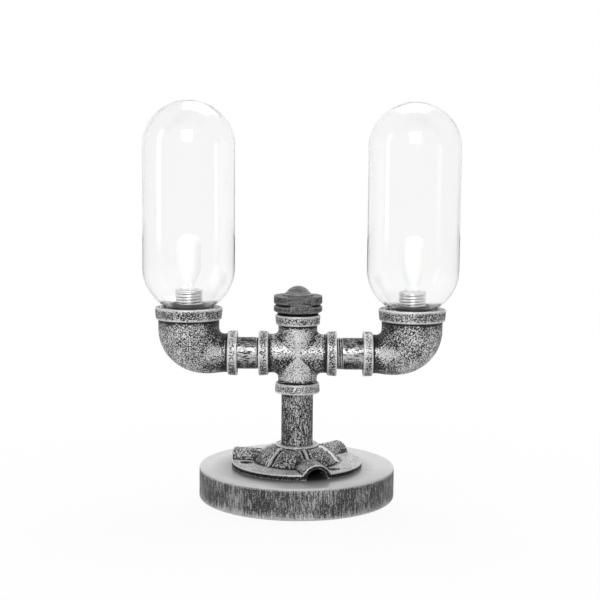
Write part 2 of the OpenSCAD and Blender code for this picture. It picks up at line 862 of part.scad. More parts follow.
// Low domed cap over the screw's head
module knob_cap() {
    r = cap_d / 2;
    rise = cap_h - cap_edge;
    ball_r = (r * r + rise * rise) / (2 * rise);
    color(gunmetal)
    translate([0, 0, cap_z])
    difference() {
        union() {
            cylinder(r = r, h = cap_edge);
            intersection() {
                translate([0, 0, cap_h - ball_r]) sphere(r = ball_r);
                translate([0, 0, cap_edge]) cylinder(r = r, h = cap_h);
            }
        }
        translate([0, 0, -cut]) cylinder(d = cap_hollow_d, h = cut + cap_hollow_h);
    }
}

// Plate on the seat in the elbow's mouth, which carries the lampholder
module holder_plate() {
    color(gunmetal)
    translate([0, 0, plate_z]) tube(plate_d, (plate_d - sleeve_d) / 2 - screw_fit, plate_t);
}

module lock_nut() {
    color(bright_steel)
    translate([0, 0, plate_z - lock_t])
    difference() {
        hex_bar(lock_flats, lock_t);
        translate([0, 0, -cut]) cylinder(r = sleeve_r + screw_fit, h = lock_t + 2 * cut);
    }
}

module sleeve() {
    color(bright_steel)
    translate([0, 0, sleeve_bottom]) tube(sleeve_d, sleeve_wall, sleeve_top - sleeve_bottom);
}

module ring_nut() {
    color(bright_steel)
    translate([0, 0, ring_z])
    difference() {
        bevelled_disc(ring_d, ring_h, ring_bevel);
        translate([0, 0, -cut]) cylinder(r = sleeve_r + screw_fit, h = ring_h + 2 * cut);
    }
}

// Soft seal in the mouth, with a floor that the glass neck stands on
module seal() {
    color([0.9, 0.9, 0.9, 0.8])
    translate([0, 0, seal_z])
    difference() {
        cylinder(d = plate_d, h = seal_top - seal_z);
        translate([0, 0, seal_floor_t]) cylinder(r = glass_neck_r + glass_play, h = seat_depth);
        translate([0, 0, -cut]) cylinder(r = glass_neck_in, h = seat_depth);
    }
}

// Copies at the two pins, which stand one behind the other
module at_pins() {
    for (side = [-1, 1]) translate([0, side * pin_pitch / 2, 0]) children();
}

module insert() {
    color(porcelain)
    difference() {
        translate([0, 0, insert_bottom])
            bevelled_disc(2 * (sleeve_bore_r - insert_play), insert_l, insert_rise);
        at_pins() {
            translate([-slot_t / 2, -slot_w / 2, insert_bottom + slot_floor])
                cube([slot_t, slot_w, insert_l]);
            translate([0, 0, insert_bottom - cut])
                cylinder(d = tail_d + 2 * screw_fit, h = 2 * cut + slot_floor);
        }
    }
}

// Two spring leaves for each pin, joined at the bottom and ending in a tail for the lead
module contacts() {
    low = insert_bottom + slot_floor;
    inner = pin_d / 2 + contact_gap;
    color("#c9a24a")
    at_pins() {
        for (side = [0, 1]) mirror([side, 0, 0])
            translate([inner, -contact_w / 2, low]) cube([contact_t, contact_w, contact_l]);
        translate([-inner, -contact_w / 2, low]) cube([2 * inner, contact_w, contact_t]);
        translate([0, 0, insert_bottom]) cylinder(d = tail_d, h = slot_floor + contact_t);
    }
}

// Body of the glass capsule, drawn in by a wall. The crown is one arc that runs into
// another at the shoulder; below the straight wall it is half a ball
module capsule(wall) {
    r = shade_r - wall;
    rotate_extrude()
    union() {
        intersection() {
            translate([0, low_z]) circle(r = r);
            translate([0, low_z - r]) square([r, r]);
        }
        translate([0, low_z]) square([r, high_z - low_z]);
        intersection() {
            translate([shade_r - shoulder_r, high_z]) circle(r = shoulder_r - wall);
            translate([0, high_z]) square([r, crown_h]);
        }
        intersection() {
            translate([0, shade_top - crown_r]) circle(r = crown_r - wall);
            translate([0, high_z]) square([(crown_r - wall) * sin(crown_turn), crown_h]);
        }
    }
}

module glass_shade() {
    color(clear_glass)
    difference() {
        union() {
            capsule(0);
            translate([0, 0, glass_foot]) cylinder(r = glass_neck_r, h = low_z - glass_foot);
        }
        capsule(shade_wall);
        translate([0, 0, glass_foot - cut]) cylinder(r = glass_neck_in, h = low_z - glass_foot);
    }
}

// Outline given by its right side, from below upwards
function both_sides(line) =
    concat(line, [for (i = [len(line) - 1:-1:0]) [-line[i][0], line[i][1]]]);

// Body of the opal cover, drawn in by a wall: round above, pinched flat at its foot, and
// carried straight down past the foot where it is given a drop
module opal_body(wall, drop) {
    r = bulb_r - wall;
    ry = cover_w / 2 - wall;
    rx = cover_t / 2 - wall;
    round_z = bulb_top - bulb_r;
    swell_z = cover_z + cover_swell_h;
    intersection() {
        rotate_extrude()
        union() {
            polygon(concat(drop > 0 ? [[0, cover_z - drop], [ry, cover_z - drop]] : [[0, cover_z]],
                [[ry, cover_z], [r, swell_z], [r, round_z], [0, round_z]]));
            intersection() {
                translate([0, round_z]) circle(r = r);
                translate([0, round_z]) square([r, r]);
            }
        }
        rotate([90, 0, 0]) linear_extrude(2 * bulb_d, center = true)
            polygon(both_sides(concat(drop > 0 ? [[rx, cover_z - drop]] : [],
                [[rx, cover_z], [r + cover_over, swell_z], [r + cover_over, bulb_top + cut]])));
    }
}

// Opal cover of the bulb, which stands on its foot
module bulb_cover() {
    color(opal_white)
    difference() {
        opal_body(0, 0);
        opal_body(bulb_wall, cut);
    }
}

// Flat foot of the bulb, narrow as seen from the front, with a key up into the cover
module bulb_foot() {
    color(opal_white)
    translate([0, 0, foot_z])
    difference() {
        union() {
            translate([-foot_t / 2, -foot_w / 2 + foot_round, 0])
                cube([foot_t, foot_w - 2 * foot_round, foot_h]);
            translate([-foot_t / 2 + foot_round, -foot_w / 2, 0])
                cube([foot_t - 2 * foot_round, foot_w, foot_h]);
            for (x = [-1, 1], y = [-1, 1])
                translate([x * (foot_t / 2 - foot_round), y * (foot_w / 2 - foot_round), 0])
                    cylinder(r = foot_round, h = foot_h);
            translate([-key_t / 2, -key_w / 2, 0]) cube([key_t, key_w, foot_h + key_h]);
        }
        at_pins() for (side = [-1, 1])
            translate([0, side * (pin_loop_w - pin_d) / 2, -cut])
                cylinder(d = pin_d + screw_fit, h = cut + pin_root);
    }
}

// Two looped wire pins, each a hairpin that stands in the line of the pair
module bulb_pins() {
    loop_r = (pin_loop_w - pin_d) / 2;
    color(bright_steel)
    at_pins() {
        for (side = [-1, 1]) translate([0, side * loop_r, pin_bottom + loop_r + pin_d / 2])
            cylinder(d = pin_d, h = foot_z + pin_root - pin_bottom - loop_r - pin_d / 2);
        translate([0, 0, pin_bottom + loop_r + pin_d / 2])
            rotate([0, 90, 0]) rotate([0, 0, -90])
            rotate_extrude(angle = 180) translate([loop_r, 0]) circle(d = pin_d, $fn = 24);
    }
}

// Quarter bend of one lead from going along +X to going along +Z, starting at the origin
module lead_bend_up() {
    translate([0, 0, lead_turn]) rotate([90, 0, 0])
        rotate([0, 0, -90]) rotate_extrude(angle = 90) translate([lead_turn, 0])
            circle(r = lead_r, $fn = 24);
}

// Pair of leads from the dimmer, along an arm and up to the lampholder at x = far
module arm_leads(far) {
    run_z = arm_z;
    drop = dimmer_bottom - run_z - lead_turn;
    run = far - lead_out - 2 * lead_turn;
    rise = insert_bottom - run_z - lead_turn;
    for (side = [-1, 1]) translate([0, side * lead_side, 0]) {
        translate([lead_out, 0, dimmer_bottom - drop]) cylinder(r = lead_r, h = drop);
        translate([lead_out + lead_turn, 0, run_z]) mirror([1, 0, 0]) lead_bend_up();
        translate([lead_out + lead_turn, 0, run_z]) rotate([0, 90, 0]) cylinder(r = lead_r, h = run);
        translate([lead_out + lead_turn + run, 0, run_z]) lead_bend_up();
        translate([far, 0, run_z + lead_turn]) cylinder(r = lead_r, h = rise);
    }
}

module left_leads() {
    color(black_part) mirror([1, 0, 0]) arm_leads(-left_x);
}

module right_leads() {
    color(black_part) arm_leads(right_x);
}

// Pair of leads from the terminal block, up the stand pipe to the dimmer
module feed_leads() {
    color(black_part)
    for (x = [-feed_x, feed_x]) translate([x, 0, 0]) {
        translate([0, block_y, block_lead_z]) rotate([-90, 0, 0])
            cylinder(r = lead_r, h = block_grip);
        translate([0, block_y, block_lead_z]) rotate([0, 0, -90]) lead_bend_up();
        translate([0, feed_y, block_lead_z + lead_turn])
            cylinder(r = lead_r, h = dimmer_bottom - block_lead_z - lead_turn);
    }
}

// Copies at one of the two mouths
module at_left() {
    translate([left_x, 0, 0]) children();
}
module at_right() {
    translate([right_x, 0, 0]) children();
}

base_disc();
base_felt();
cord_bush();
terminal_block();
floor_flange();
flange_screws();
stand_pipe();
pipe_cross();
left_nipple();
right_nipple();
left_elbow();
right_elbow();
top_plug();
dimmer_body();
dimmer_nut();
dimmer_shaft();
knob();
knob_washer();
knob_screw();
knob_cap();
at_left() holder_plate();  // left_holder_plate
at_right() holder_plate();  // right_holder_plate
at_left() lock_nut();  // left_lock_nut
at_right() lock_nut();  // right_lock_nut
at_left() sleeve();  // left_sleeve
at_right() sleeve();  // right_sleeve
at_left() insert();  // left_insert
at_right() insert();  // right_insert
at_left() contacts();  // left_contacts
at_right() contacts();  // right_contacts
at_left() seal();  // left_seal
at_right() seal();  // right_seal
at_left() ring_nut();  // left_ring_nut
at_right() ring_nut();  // right_ring_nut
at_left() glass_shade();  // left_glass
at_right() glass_shade();  // right_glass
at_left() bulb_cover();  // left_bulb_cover
at_right() bulb_cover();  // right_bulb_cover
at_left() bulb_foot();  // left_bulb_foot
at_right() bulb_foot();  // right_bulb_foot
at_left() bulb_pins();  // left_bulb_pins
at_right() bulb_pins();  // right_bulb_pins
feed_leads();
left_leads();
right_leads();
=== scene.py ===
"""Looks of a table lamp: two clear glass shades on iron pipe fittings over a round grey base."""

import math

import bmesh
import bpy
from mathutils import Matrix, Vector


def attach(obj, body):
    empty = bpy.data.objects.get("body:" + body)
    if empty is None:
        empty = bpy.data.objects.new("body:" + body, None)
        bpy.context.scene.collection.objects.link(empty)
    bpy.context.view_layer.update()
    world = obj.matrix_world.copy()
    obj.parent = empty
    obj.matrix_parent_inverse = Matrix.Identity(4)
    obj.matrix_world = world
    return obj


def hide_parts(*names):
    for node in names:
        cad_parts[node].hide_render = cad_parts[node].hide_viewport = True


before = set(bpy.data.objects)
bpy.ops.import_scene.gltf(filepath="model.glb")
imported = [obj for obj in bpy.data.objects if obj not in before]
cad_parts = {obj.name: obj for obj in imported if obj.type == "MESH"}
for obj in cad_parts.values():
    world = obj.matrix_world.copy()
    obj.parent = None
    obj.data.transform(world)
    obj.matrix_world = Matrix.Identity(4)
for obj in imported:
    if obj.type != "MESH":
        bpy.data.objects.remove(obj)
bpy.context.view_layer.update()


# Camera
# The lamp was photographed from the front, a little above its middle, with a long lens.
# The camera leans a touch, as the lamp's arms fall slightly to the right in the picture.
eye = Vector((0.0015, -0.950, 0.255))
pitch = math.radians(5.89)
lean = math.radians(0.5)
focal_in_frames = 1212 / 600
lens = bpy.data.cameras.new("long_lens")
lens.sensor_width = 36
lens.lens = focal_in_frames * lens.sensor_width
lens.clip_end = 20
camera = bpy.data.objects.new("camera", lens)
camera.matrix_world = (Matrix.Translation(eye) @ Matrix.Rotation(math.radians(90) - pitch, 4, "X")
                       @ Matrix.Rotation(lean, 4, "Z"))
bpy.context.scene.collection.objects.link(camera)
bpy.context.scene.camera = camera
bpy.context.scene.view_settings.view_transform = "Standard"


# Studio
# A white table and backdrop, a tall soft box in front above the camera, a second one overhead
# and a narrow one from the left. The room behind the camera is darker than the backdrop.
def add(tree, kind, inputs=None, **settings):
    """Adds a shader node with its settings, and sets or links its inputs."""
    node = tree.nodes.new(kind)
    for name, value in settings.items():
        setattr(node, name, value)
    for socket, value in (inputs or {}).items():
        if isinstance(value, bpy.types.NodeSocket):
            tree.links.new(value, node.inputs[socket])
        else:
            node.inputs[socket].default_value = value
    return node


def linear(code):
    """Linear colour of an sRGB hex code."""
    parts = [int(code[i:i + 2], 16) / 255 for i in (1, 3, 5)]
    return [p / 12.92 if p <= 0.04045 else ((p + 0.055) / 1.055) ** 2.4 for p in parts] + [1]


def soft_box(name, place, aim, width, height, watts, mirrored=True):
    """Adds a rectangular lamp that faces the aim, seen in mirror-like surfaces or not."""
    lamp = bpy.data.lights.new(name, "AREA")
    lamp.shape = "RECTANGLE"
    lamp.size = width
    lamp.size_y = height
    lamp.energy = watts
    holder = bpy.data.objects.new(name, lamp)
    turn = (Vector(aim) - Vector(place)).to_track_quat("-Z", "Y")
    holder.matrix_world = Matrix.Translation(place) @ turn.to_matrix().to_4x4()
    holder.visible_glossy = mirrored
    bpy.context.scene.collection.objects.link(holder)


room_level = 0.24
room_dark = 0.04
room = bpy.data.worlds.new("studio")
room.use_nodes = True
bpy.context.scene.world = room
tree = room.node_tree
ray = add(tree, "ShaderNodeLightPath")
way = add(tree, "ShaderNodeSeparateXYZ", {0: add(tree, "ShaderNodeTexCoord").outputs["Generated"]})
backdrop = add(tree, "ShaderNodeMapRange", {"Value": way.outputs["Y"], "From Min": -0.2,
                                            "From Max": 1.0, "To Min": room_dark, "To Max": 1.0})
mirrored = add(tree, "ShaderNodeMix", {0: ray.outputs["Is Glossy Ray"], 2: room_level,
                                       3: backdrop.outputs[0]}, data_type="FLOAT")
seen = add(tree, "ShaderNodeMath", {0: ray.outputs["Is Camera Ray"],
                                    1: ray.outputs["Is Transmission Ray"]}, operation="MAXIMUM")
strength = add(tree, "ShaderNodeMix", {0: seen.outputs[0], 2: mirrored.outputs[0], 3: 1.0},
               data_type="FLOAT")
background = tree.nodes["Background"]
background.inputs["Color"].default_value = linear("#ffffff")
tree.links.new(strength.outputs[0], background.inputs["Strength"])

lamp_middle = (0, 0, 0.14)
soft_box("front_box", (-0.06, -1.40, 0.88), lamp_middle, 0.7, 0.9, 13)
soft_box("top_box", (0.10, 0.65, 1.25), lamp_middle, 0.8, 0.8, 13, False)
soft_box("side_box", (-1.25, -0.35, 0.55), lamp_middle, 0.3, 0.9, 1.5)

table = bmesh.new()
bmesh.ops.create_grid(table, x_segments=1, y_segments=1, size=4)
table_mesh = bpy.data.meshes.new("table")
table.to_mesh(table_mesh)
table.free()
paper = bpy.data.materials.new("matt_white_paper")
paper.use_nodes = True
tree = paper.node_tree
ray = add(tree, "ShaderNodeLightPath")
lit = tree.nodes["Principled BSDF"]
lit.inputs["Base Color"].default_value = linear("#e6e6e6")
lit.inputs["Roughness"].default_value = 1
lit.inputs["Specular IOR Level"].default_value = 0
place = add(tree, "ShaderNodeVectorMath", {0: add(tree, "ShaderNodeTexCoord").outputs["Object"]},
            operation="LENGTH")
# The paper shows the lamp's soft shadow near the base and fades to the backdrop's white further out
fade = add(tree, "ShaderNodeMapRange", {"Value": place.outputs["Value"], "From Min": 0.07,
                                        "From Max": 0.40, "To Min": 0.92, "To Max": 1.0})
looked_at = add(tree, "ShaderNodeMath", {0: ray.outputs["Is Camera Ray"],
                                         1: ray.outputs["Is Transmission Ray"]}, operation="MAXIMUM")
seen = add(tree, "ShaderNodeMath", {0: looked_at.outputs[0], 1: fade.outputs[0]},
           operation="MULTIPLY")
white = add(tree, "ShaderNodeEmission", {"Color": linear("#ffffff"), "Strength": 1.0})
both = add(tree, "ShaderNodeMixShader", {0: seen.outputs[0], 1: lit.outputs[0], 2: white.outputs[0]})
tree.links.new(both.outputs[0], tree.nodes["Material Output"].inputs["Surface"])
table_mesh.materials.append(paper)
table_top = bpy.data.objects.new("table", table_mesh)
bpy.context.scene.collection.objects.link(table_top)


# Base
# A turned disc of dense wood under a grey wash: the top is rubbed down to a pale satin, the side
# keeps the dark wash with the upright marks of the brush, and both edges are rubbed through.
mm = 0.001


def rounded(corners, steps=5):
    """Outline through (radius, height, rounding) corners, each turned by an arc of its rounding."""
    outline = []
    for i, (r, z, rounding) in enumerate(corners):
        here = Vector((r, z))
        if rounding == 0:
            outline.append(here)
            continue
        back = (Vector(corners[i - 1][:2]) - here).normalized()
        ahead = (Vector(corners[(i + 1) % len(corners)][:2]) - here).normalized()
        half = back.angle(ahead) / 2
        middle = here + (back + ahead).normalized() * rounding / math.sin(half)
        spoke = here + back * rounding / math.tan(half) - middle
        turn = math.pi - 2 * half
        if back.x * ahead.y - back.y * ahead.x > 0:
            turn = -turn
        for k in range(steps + 1):
            outline.append(middle + Matrix.Rotation(turn * k / steps, 2) @ spoke)
    return outline


def divided(outline, step, closed=True):
    """The same outline with its long stretches divided, and the stretch that closes it too."""
    ends = list(outline[1:])
    if closed and (outline[0].x > 0 or outline[-1].x > 0):
        ends.append(outline[0])
    points = []
    for a, b in zip(outline, ends):
        count = max(1, math.ceil((b - a).length / step))
        points += [a.lerp(b, k / count) for k in range(count)]
    if len(ends) < len(outline):
        points.append(outline[-1])
    return points


def turned(outline, sides=160):
    """Skin of an outline turned about the Z axis, closed where the outline leaves the axis."""
    bm = bmesh.new()
    verts = [bm.verts.new((p.x, 0, p.y)) for p in outline]
    edges = [bm.edges.new(pair) for pair in zip(verts, verts[1:])]
    if outline[0].x > 0 or outline[-1].x > 0:
        edges.append(bm.edges.new((verts[-1], verts[0])))
    bmesh.ops.spin(bm, geom=verts + edges, cent=(0, 0, 0), axis=(0, 0, 1), angle=math.tau,
                   steps=sides, use_merge=True)
    bmesh.ops.remove_doubles(bm, verts=bm.verts, dist=0.002)
    bmesh.ops.recalc_face_normals(bm, faces=bm.faces)
    return bm


def mark_wear(bm, reach=1.0):
    """Writes how proud each point stands: 1 on edges rounder than the reach in mm, -1 in tight hollows."""
    bm.normal_update()
    bm.verts.index_update()
    level = []
    for v in bm.verts:
        bends = [0.0]
        for e in v.link_edges:
            step = v.co - e.other_vert(v).co
            if step.length_squared > 1e-6:
                bends.append(2 * reach * v.normal.dot(step) / step.length_squared)
        level.append(max(-1.0, min(1.0, max(bends) + min(bends))))
    layer = bm.verts.layers.float.new("wear")
    for v in bm.verts:
        near = [level[e.other_vert(v).index] for e in v.link_edges]
        v[layer] = 0.5 * level[v.index] + 0.5 * sum(near) / max(1, len(near))


def mark_brush_and_painted_light(bm, level):
    """Writes how much pewter the brush left, 1 on faces it was drawn over and -1 where it never came,
    together with the painted highlights and painted shade that the level adds on the pipes and fittings.
    """
    layer = bm.verts.layers.float.new("brushed")
    for v in bm.verts:
        v[layer] = level(v.co)


def piece(name, bm, material, body, slot, *nodes, sharp=32):
    """Makes a shape in mm into an object that rides on its body and stands for its CAD nodes."""
    mark_wear(bm)
    bmesh.ops.scale(bm, vec=(mm, mm, mm), verts=bm.verts)
    mesh = bpy.data.meshes.new(name)
    bm.to_mesh(mesh)
    bm.free()
    mesh.shade_smooth()
    mesh.set_sharp_from_angle(angle=math.radians(sharp))
    mesh.materials.append(material)
    made = bpy.data.objects.new(name, mesh)
    bpy.context.scene.collection.objects.link(made)
    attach(made, body)
    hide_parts(*nodes)
    return made


def new_material(name, **values):
    """Principled material with its plain values set, and its node tree, shader and coordinates."""
    material = bpy.data.materials.new(name)
    material.use_nodes = True
    tree = material.node_tree
    shader = tree.nodes["Principled BSDF"]
    for socket, value in values.items():
        shader.inputs[socket.replace("_", " ")].default_value = value
    coords = add(tree, "ShaderNodeTexCoord")
    return material, tree, shader, coords


def grain(size):
    """Texture scale of a pattern whose marks measure this size in mm."""
    return 1 / (size * mm)


def washed_wood():
    """Grey-washed hardwood, turned and rubbed: satin pale top, dark side with upright brush marks."""
    material, tree, shader, coords = new_material("grey_washed_hardwood", Roughness=0.5)
    place = coords.outputs["Object"]
    facing = add(tree, "ShaderNodeSeparateXYZ", {0: coords.outputs["Normal"]})
    top = add(tree, "ShaderNodeMapRange", {"Value": facing.outputs["Z"], "From Min": 0.45,
                                           "From Max": 0.90})
    fibre_length, fibre_width, fibre_depth = 60, 0.9, 3
    fibre_place = add(tree, "ShaderNodeMapping", {"Vector": place, "Scale": (
        grain(fibre_length), grain(fibre_width), grain(fibre_depth))})
    fibre = add(tree, "ShaderNodeTexNoise", {"Vector": fibre_place.outputs[0], "Scale": 1.0,
                                             "Detail": 4.0, "Roughness": 0.6})
    mark_width, mark_height = 0.9, 8
    mark_place = add(tree, "ShaderNodeMapping", {"Vector": place, "Scale": (
        grain(mark_width), grain(mark_width), grain(mark_height))})
    marks = add(tree, "ShaderNodeTexNoise", {"Vector": mark_place.outputs[0], "Scale": 1.0,
                                             "Detail": 3.0, "Roughness": 0.75})
    cloud = add(tree, "ShaderNodeTexNoise", {"Vector": place, "Scale": grain(20), "Detail": 2.0})
    pits = add(tree, "ShaderNodeTexNoise", {"Vector": place, "Scale": grain(0.9), "Detail": 2.0})
    pale = add(tree, "ShaderNodeMapRange", {"Value": fibre.outputs["Fac"], "From Min": 0.30,
                                            "From Max": 0.70})
    pale_top = add(tree, "ShaderNodeMix", {0: pale.outputs[0], 6: linear("#b5b5b4"),
                                           7: linear("#cacac9")}, data_type="RGBA")
    # Painted shadow: the top is darkened round the flange and most just in front of it, standing for the
    # shade that the flange casts and mirrors on the waxed top
    flange_shadow_centre = (-3 * mm, -6 * mm, base_top * mm)
    from_flange = add(tree, "ShaderNodeVectorMath", {0: place, 1: flange_shadow_centre}, operation="DISTANCE")
    painted_flange_shadow = add(tree, "ShaderNodeMapRange", {"Value": from_flange.outputs["Value"],
                                                  "From Min": 45 * mm, "From Max": 66 * mm,
                                                  "To Min": 1.0, "To Max": 0})
    top_colour = add(tree, "ShaderNodeMix", {0: painted_flange_shadow.outputs[0], 6: pale_top.outputs[2],
                                             7: linear("#303031")}, data_type="RGBA")
    lift = add(tree, "ShaderNodeMath", {0: cloud.outputs["Fac"], 1: 0.36, 2: -0.18},
               operation="MULTIPLY_ADD")
    spots = add(tree, "ShaderNodeMath", {0: pits.outputs["Fac"], 1: 0.55, 2: lift.outputs[0]},
                operation="MULTIPLY_ADD")
    streak = add(tree, "ShaderNodeMath", {0: marks.outputs["Fac"], 1: spots.outputs[0]},
                 operation="ADD")
    # The lowest 6 mm are rubbed paler, in marks that run up from the edge
    height = add(tree, "ShaderNodeSeparateXYZ", {0: place})
    low = add(tree, "ShaderNodeMapRange", {"Value": height.outputs["Z"], "From Min": 1 * mm,
                                           "From Max": 7 * mm, "To Min": 0.20, "To Max": 0})
    rubbed = add(tree, "ShaderNodeMath", {0: streak.outputs[0], 1: low.outputs[0]}, operation="ADD")
    bright = add(tree, "ShaderNodeMapRange", {"Value": rubbed.outputs[0], "From Min": 0.74,
                                              "From Max": 1.04})
    dark_side = add(tree, "ShaderNodeMix", {0: bright.outputs[0], 6: linear("#303031"),
                                            7: linear("#d0d0cf")}, data_type="RGBA")
    bare = add(tree, "ShaderNodeMix", {0: top.outputs[0], 6: dark_side.outputs[2],
                                       7: top_colour.outputs[2]}, data_type="RGBA")
    wear = add(tree, "ShaderNodeAttribute", attribute_name="wear")
    uneven = add(tree, "ShaderNodeMath", {0: pits.outputs["Fac"], 1: 0.9, 2: wear.outputs["Fac"]},
                 operation="MULTIPLY_ADD")
    rub = add(tree, "ShaderNodeMapRange", {"Value": uneven.outputs[0], "From Min": 0.55,
                                           "From Max": 1.05, "To Max": 0.85})
    worn = add(tree, "ShaderNodeMix", {0: rub.outputs[0], 6: bare.outputs[2],
                                       7: linear("#d6d6d5")}, data_type="RGBA")
    tree.links.new(worn.outputs[2], shader.inputs["Base Color"])
    # The rubbed top takes a thin coat of wax that mirrors the backdrop softly at a low angle
    tree.links.new(top.outputs[0], shader.inputs["Coat Weight"])
    shader.inputs["Coat Roughness"].default_value = 0.20
    relief = add(tree, "ShaderNodeMix", {0: top.outputs[0], 2: streak.outputs[0],
                                         3: fibre.outputs["Fac"]}, data_type="FLOAT")
    bump = add(tree, "ShaderNodeBump", {"Strength": 0.35, "Distance": 0.25 * mm,
                                        "Height": relief.outputs[0]})
    tree.links.new(bump.outputs[0], shader.inputs["Normal"])
    return material


def felt():
    """Black wool felt: short fibres that swallow the light."""
    material, tree, shader, coords = new_material("pressed_wool_felt", Roughness=1.0,
                                                  Sheen_Weight=0.3)
    fibres = add(tree, "ShaderNodeTexNoise", {"Vector": coords.outputs["Object"],
                                              "Scale": grain(0.6), "Detail": 4.0, "Roughness": 0.8})
    colour = add(tree, "ShaderNodeMix", {0: fibres.outputs["Fac"], 6: linear("#0c0c0c"),
                                         7: linear("#262626")}, data_type="RGBA")
    tree.links.new(colour.outputs[2], shader.inputs["Base Color"])
    bump = add(tree, "ShaderNodeBump", {"Strength": 0.8, "Distance": 0.4 * mm,
                                        "Height": fibres.outputs["Fac"]})
    tree.links.new(bump.outputs[0], shader.inputs["Normal"])
    return material


base_r = 77.4
base_low = 0.6
base_top = 25.0
edge_round = 1.4
felt_r = 73.2
felt_t = 1.4
felt_play = 0.2
pocket_r = 29.0
pocket_top = 15.6
wire_hole_r = 8.5
disc = turned(divided(rounded([(wire_hole_r, base_top, 0), (base_r, base_top, edge_round),
                               (base_r, base_low, edge_round), (felt_r + felt_play, base_low, 0),
                               (felt_r + felt_play, felt_t, 0), (pocket_r, felt_t, 0),
                               (pocket_r, pocket_top, 0), (wire_hole_r, pocket_top, 0)]), 1.6), 288)

# The cord's bush sits in a spot face and a drilled hole at the back
cord_z = 10.0
spot_face_y = 75.0
spot_face_r = 7.4
spot_face_reach = 10
cord_hole_r = 5.1
cord_hole_y = 50
cord_hole_length = 60
back = bmesh.new()
bmesh.ops.create_cone(back, cap_ends=True, segments=64, radius1=spot_face_r, radius2=spot_face_r,
                      depth=spot_face_reach,
                      matrix=Matrix.Translation((0, spot_face_y + spot_face_reach / 2, cord_z))
                      @ Matrix.Rotation(math.radians(90), 4, "X"))
bmesh.ops.create_cone(back, cap_ends=True, segments=64, radius1=cord_hole_r, radius2=cord_hole_r,
                      depth=cord_hole_length,
                      matrix=Matrix.Translation((0, cord_hole_y, cord_z))
                      @ Matrix.Rotation(math.radians(90), 4, "X"))


def drilled(bm, cutter):
    """Takes a cutter's shape out of a shape, both in mm."""
    objects = []
    for name, shape in (("drilled", bm), ("cutter", cutter)):
        mesh = bpy.data.meshes.new(name)
        shape.to_mesh(mesh)
        shape.free()
        objects.append(bpy.data.objects.new(name, mesh))
        bpy.context.scene.collection.objects.link(objects[-1])
    body, tool = objects
    cut = body.modifiers.new("cut", "BOOLEAN")
    cut.operation = "DIFFERENCE"
    cut.solver = "EXACT"
    cut.use_self = True
    cut.object = tool
    bpy.context.view_layer.update()
    result = bmesh.new()
    result.from_object(body, bpy.context.evaluated_depsgraph_get())
    for made in objects:
        mesh = made.data
        bpy.data.objects.remove(made)
        bpy.data.meshes.remove(mesh)
    return result


disc = drilled(disc, back)
piece("base", disc, washed_wood(), "stand", "grey_wood", "base_disc")
pad = turned(divided(rounded([(0, 0, 0), (felt_r, 0, 0.3), (felt_r, felt_t, 0), (0, felt_t, 0)]), 4))
piece("base_pad", pad, felt(), "stand", "felt", "base_felt")


# Floor flange
# A sand-cast malleable iron flange, black and dry-brushed with pewter paint. Six ribs run down a
# scalloped dome from the threaded hub, and three hoods open at the rim. Three screws hold it down.
def dry_brushed_iron():
    """Sand-cast iron, blackened and dry-brushed with pewter: grit under 1 mm across that takes the
    brush on its peaks, bare bright edges and black hollows."""
    material, tree, shader, coords = new_material("dry_brushed_cast_iron")
    place = coords.outputs["Object"]
    grit = add(tree, "ShaderNodeTexNoise", {"Vector": place, "Scale": grain(0.9), "Detail": 2.0,
                                            "Roughness": 0.6})
    patch = add(tree, "ShaderNodeTexNoise", {"Vector": place, "Scale": grain(9), "Detail": 2.0})
    wear = add(tree, "ShaderNodeAttribute", attribute_name="wear")
    # The brushed attribute carries the pewter and also painted highlights and painted shade on the cross
    # and the elbows
    brushed = add(tree, "ShaderNodeAttribute", attribute_name="brushed")
    with_patch = add(tree, "ShaderNodeMath", {0: patch.outputs["Fac"], 1: 0.18,
                                              2: grit.outputs["Fac"]}, operation="MULTIPLY_ADD")
    with_brush = add(tree, "ShaderNodeMath", {0: brushed.outputs["Fac"], 1: 0.16,
                                              2: with_patch.outputs[0]}, operation="MULTIPLY_ADD")
    level = add(tree, "ShaderNodeMath", {0: wear.outputs["Fac"], 1: 0.30,
                                         2: with_brush.outputs[0]}, operation="MULTIPLY_ADD")
    silver = add(tree, "ShaderNodeMapRange", {"Value": level.outputs[0], "From Min": 0.57,
                                              "From Max": 0.66})
    colour = add(tree, "ShaderNodeMix", {0: silver.outputs[0], 6: linear("#0e0e0f"),
                                         7: linear("#eaeaeb")}, data_type="RGBA")
    metal = add(tree, "ShaderNodeMapRange", {"Value": silver.outputs[0], "To Min": 0.0,
                                             "To Max": 0.6})
    rough = add(tree, "ShaderNodeMapRange", {"Value": silver.outputs[0], "To Min": 0.50,
                                             "To Max": 0.46})
    bump = add(tree, "ShaderNodeBump", {"Strength": 0.8, "Distance": 0.3 * mm,
                                        "Height": grit.outputs["Fac"]})
    tree.links.new(colour.outputs[2], shader.inputs["Base Color"])
    tree.links.new(metal.outputs[0], shader.inputs["Metallic"])
    tree.links.new(rough.outputs[0], shader.inputs["Roughness"])
    tree.links.new(bump.outputs[0], shader.inputs["Normal"])
    return material


cast_iron = dry_brushed_iron()

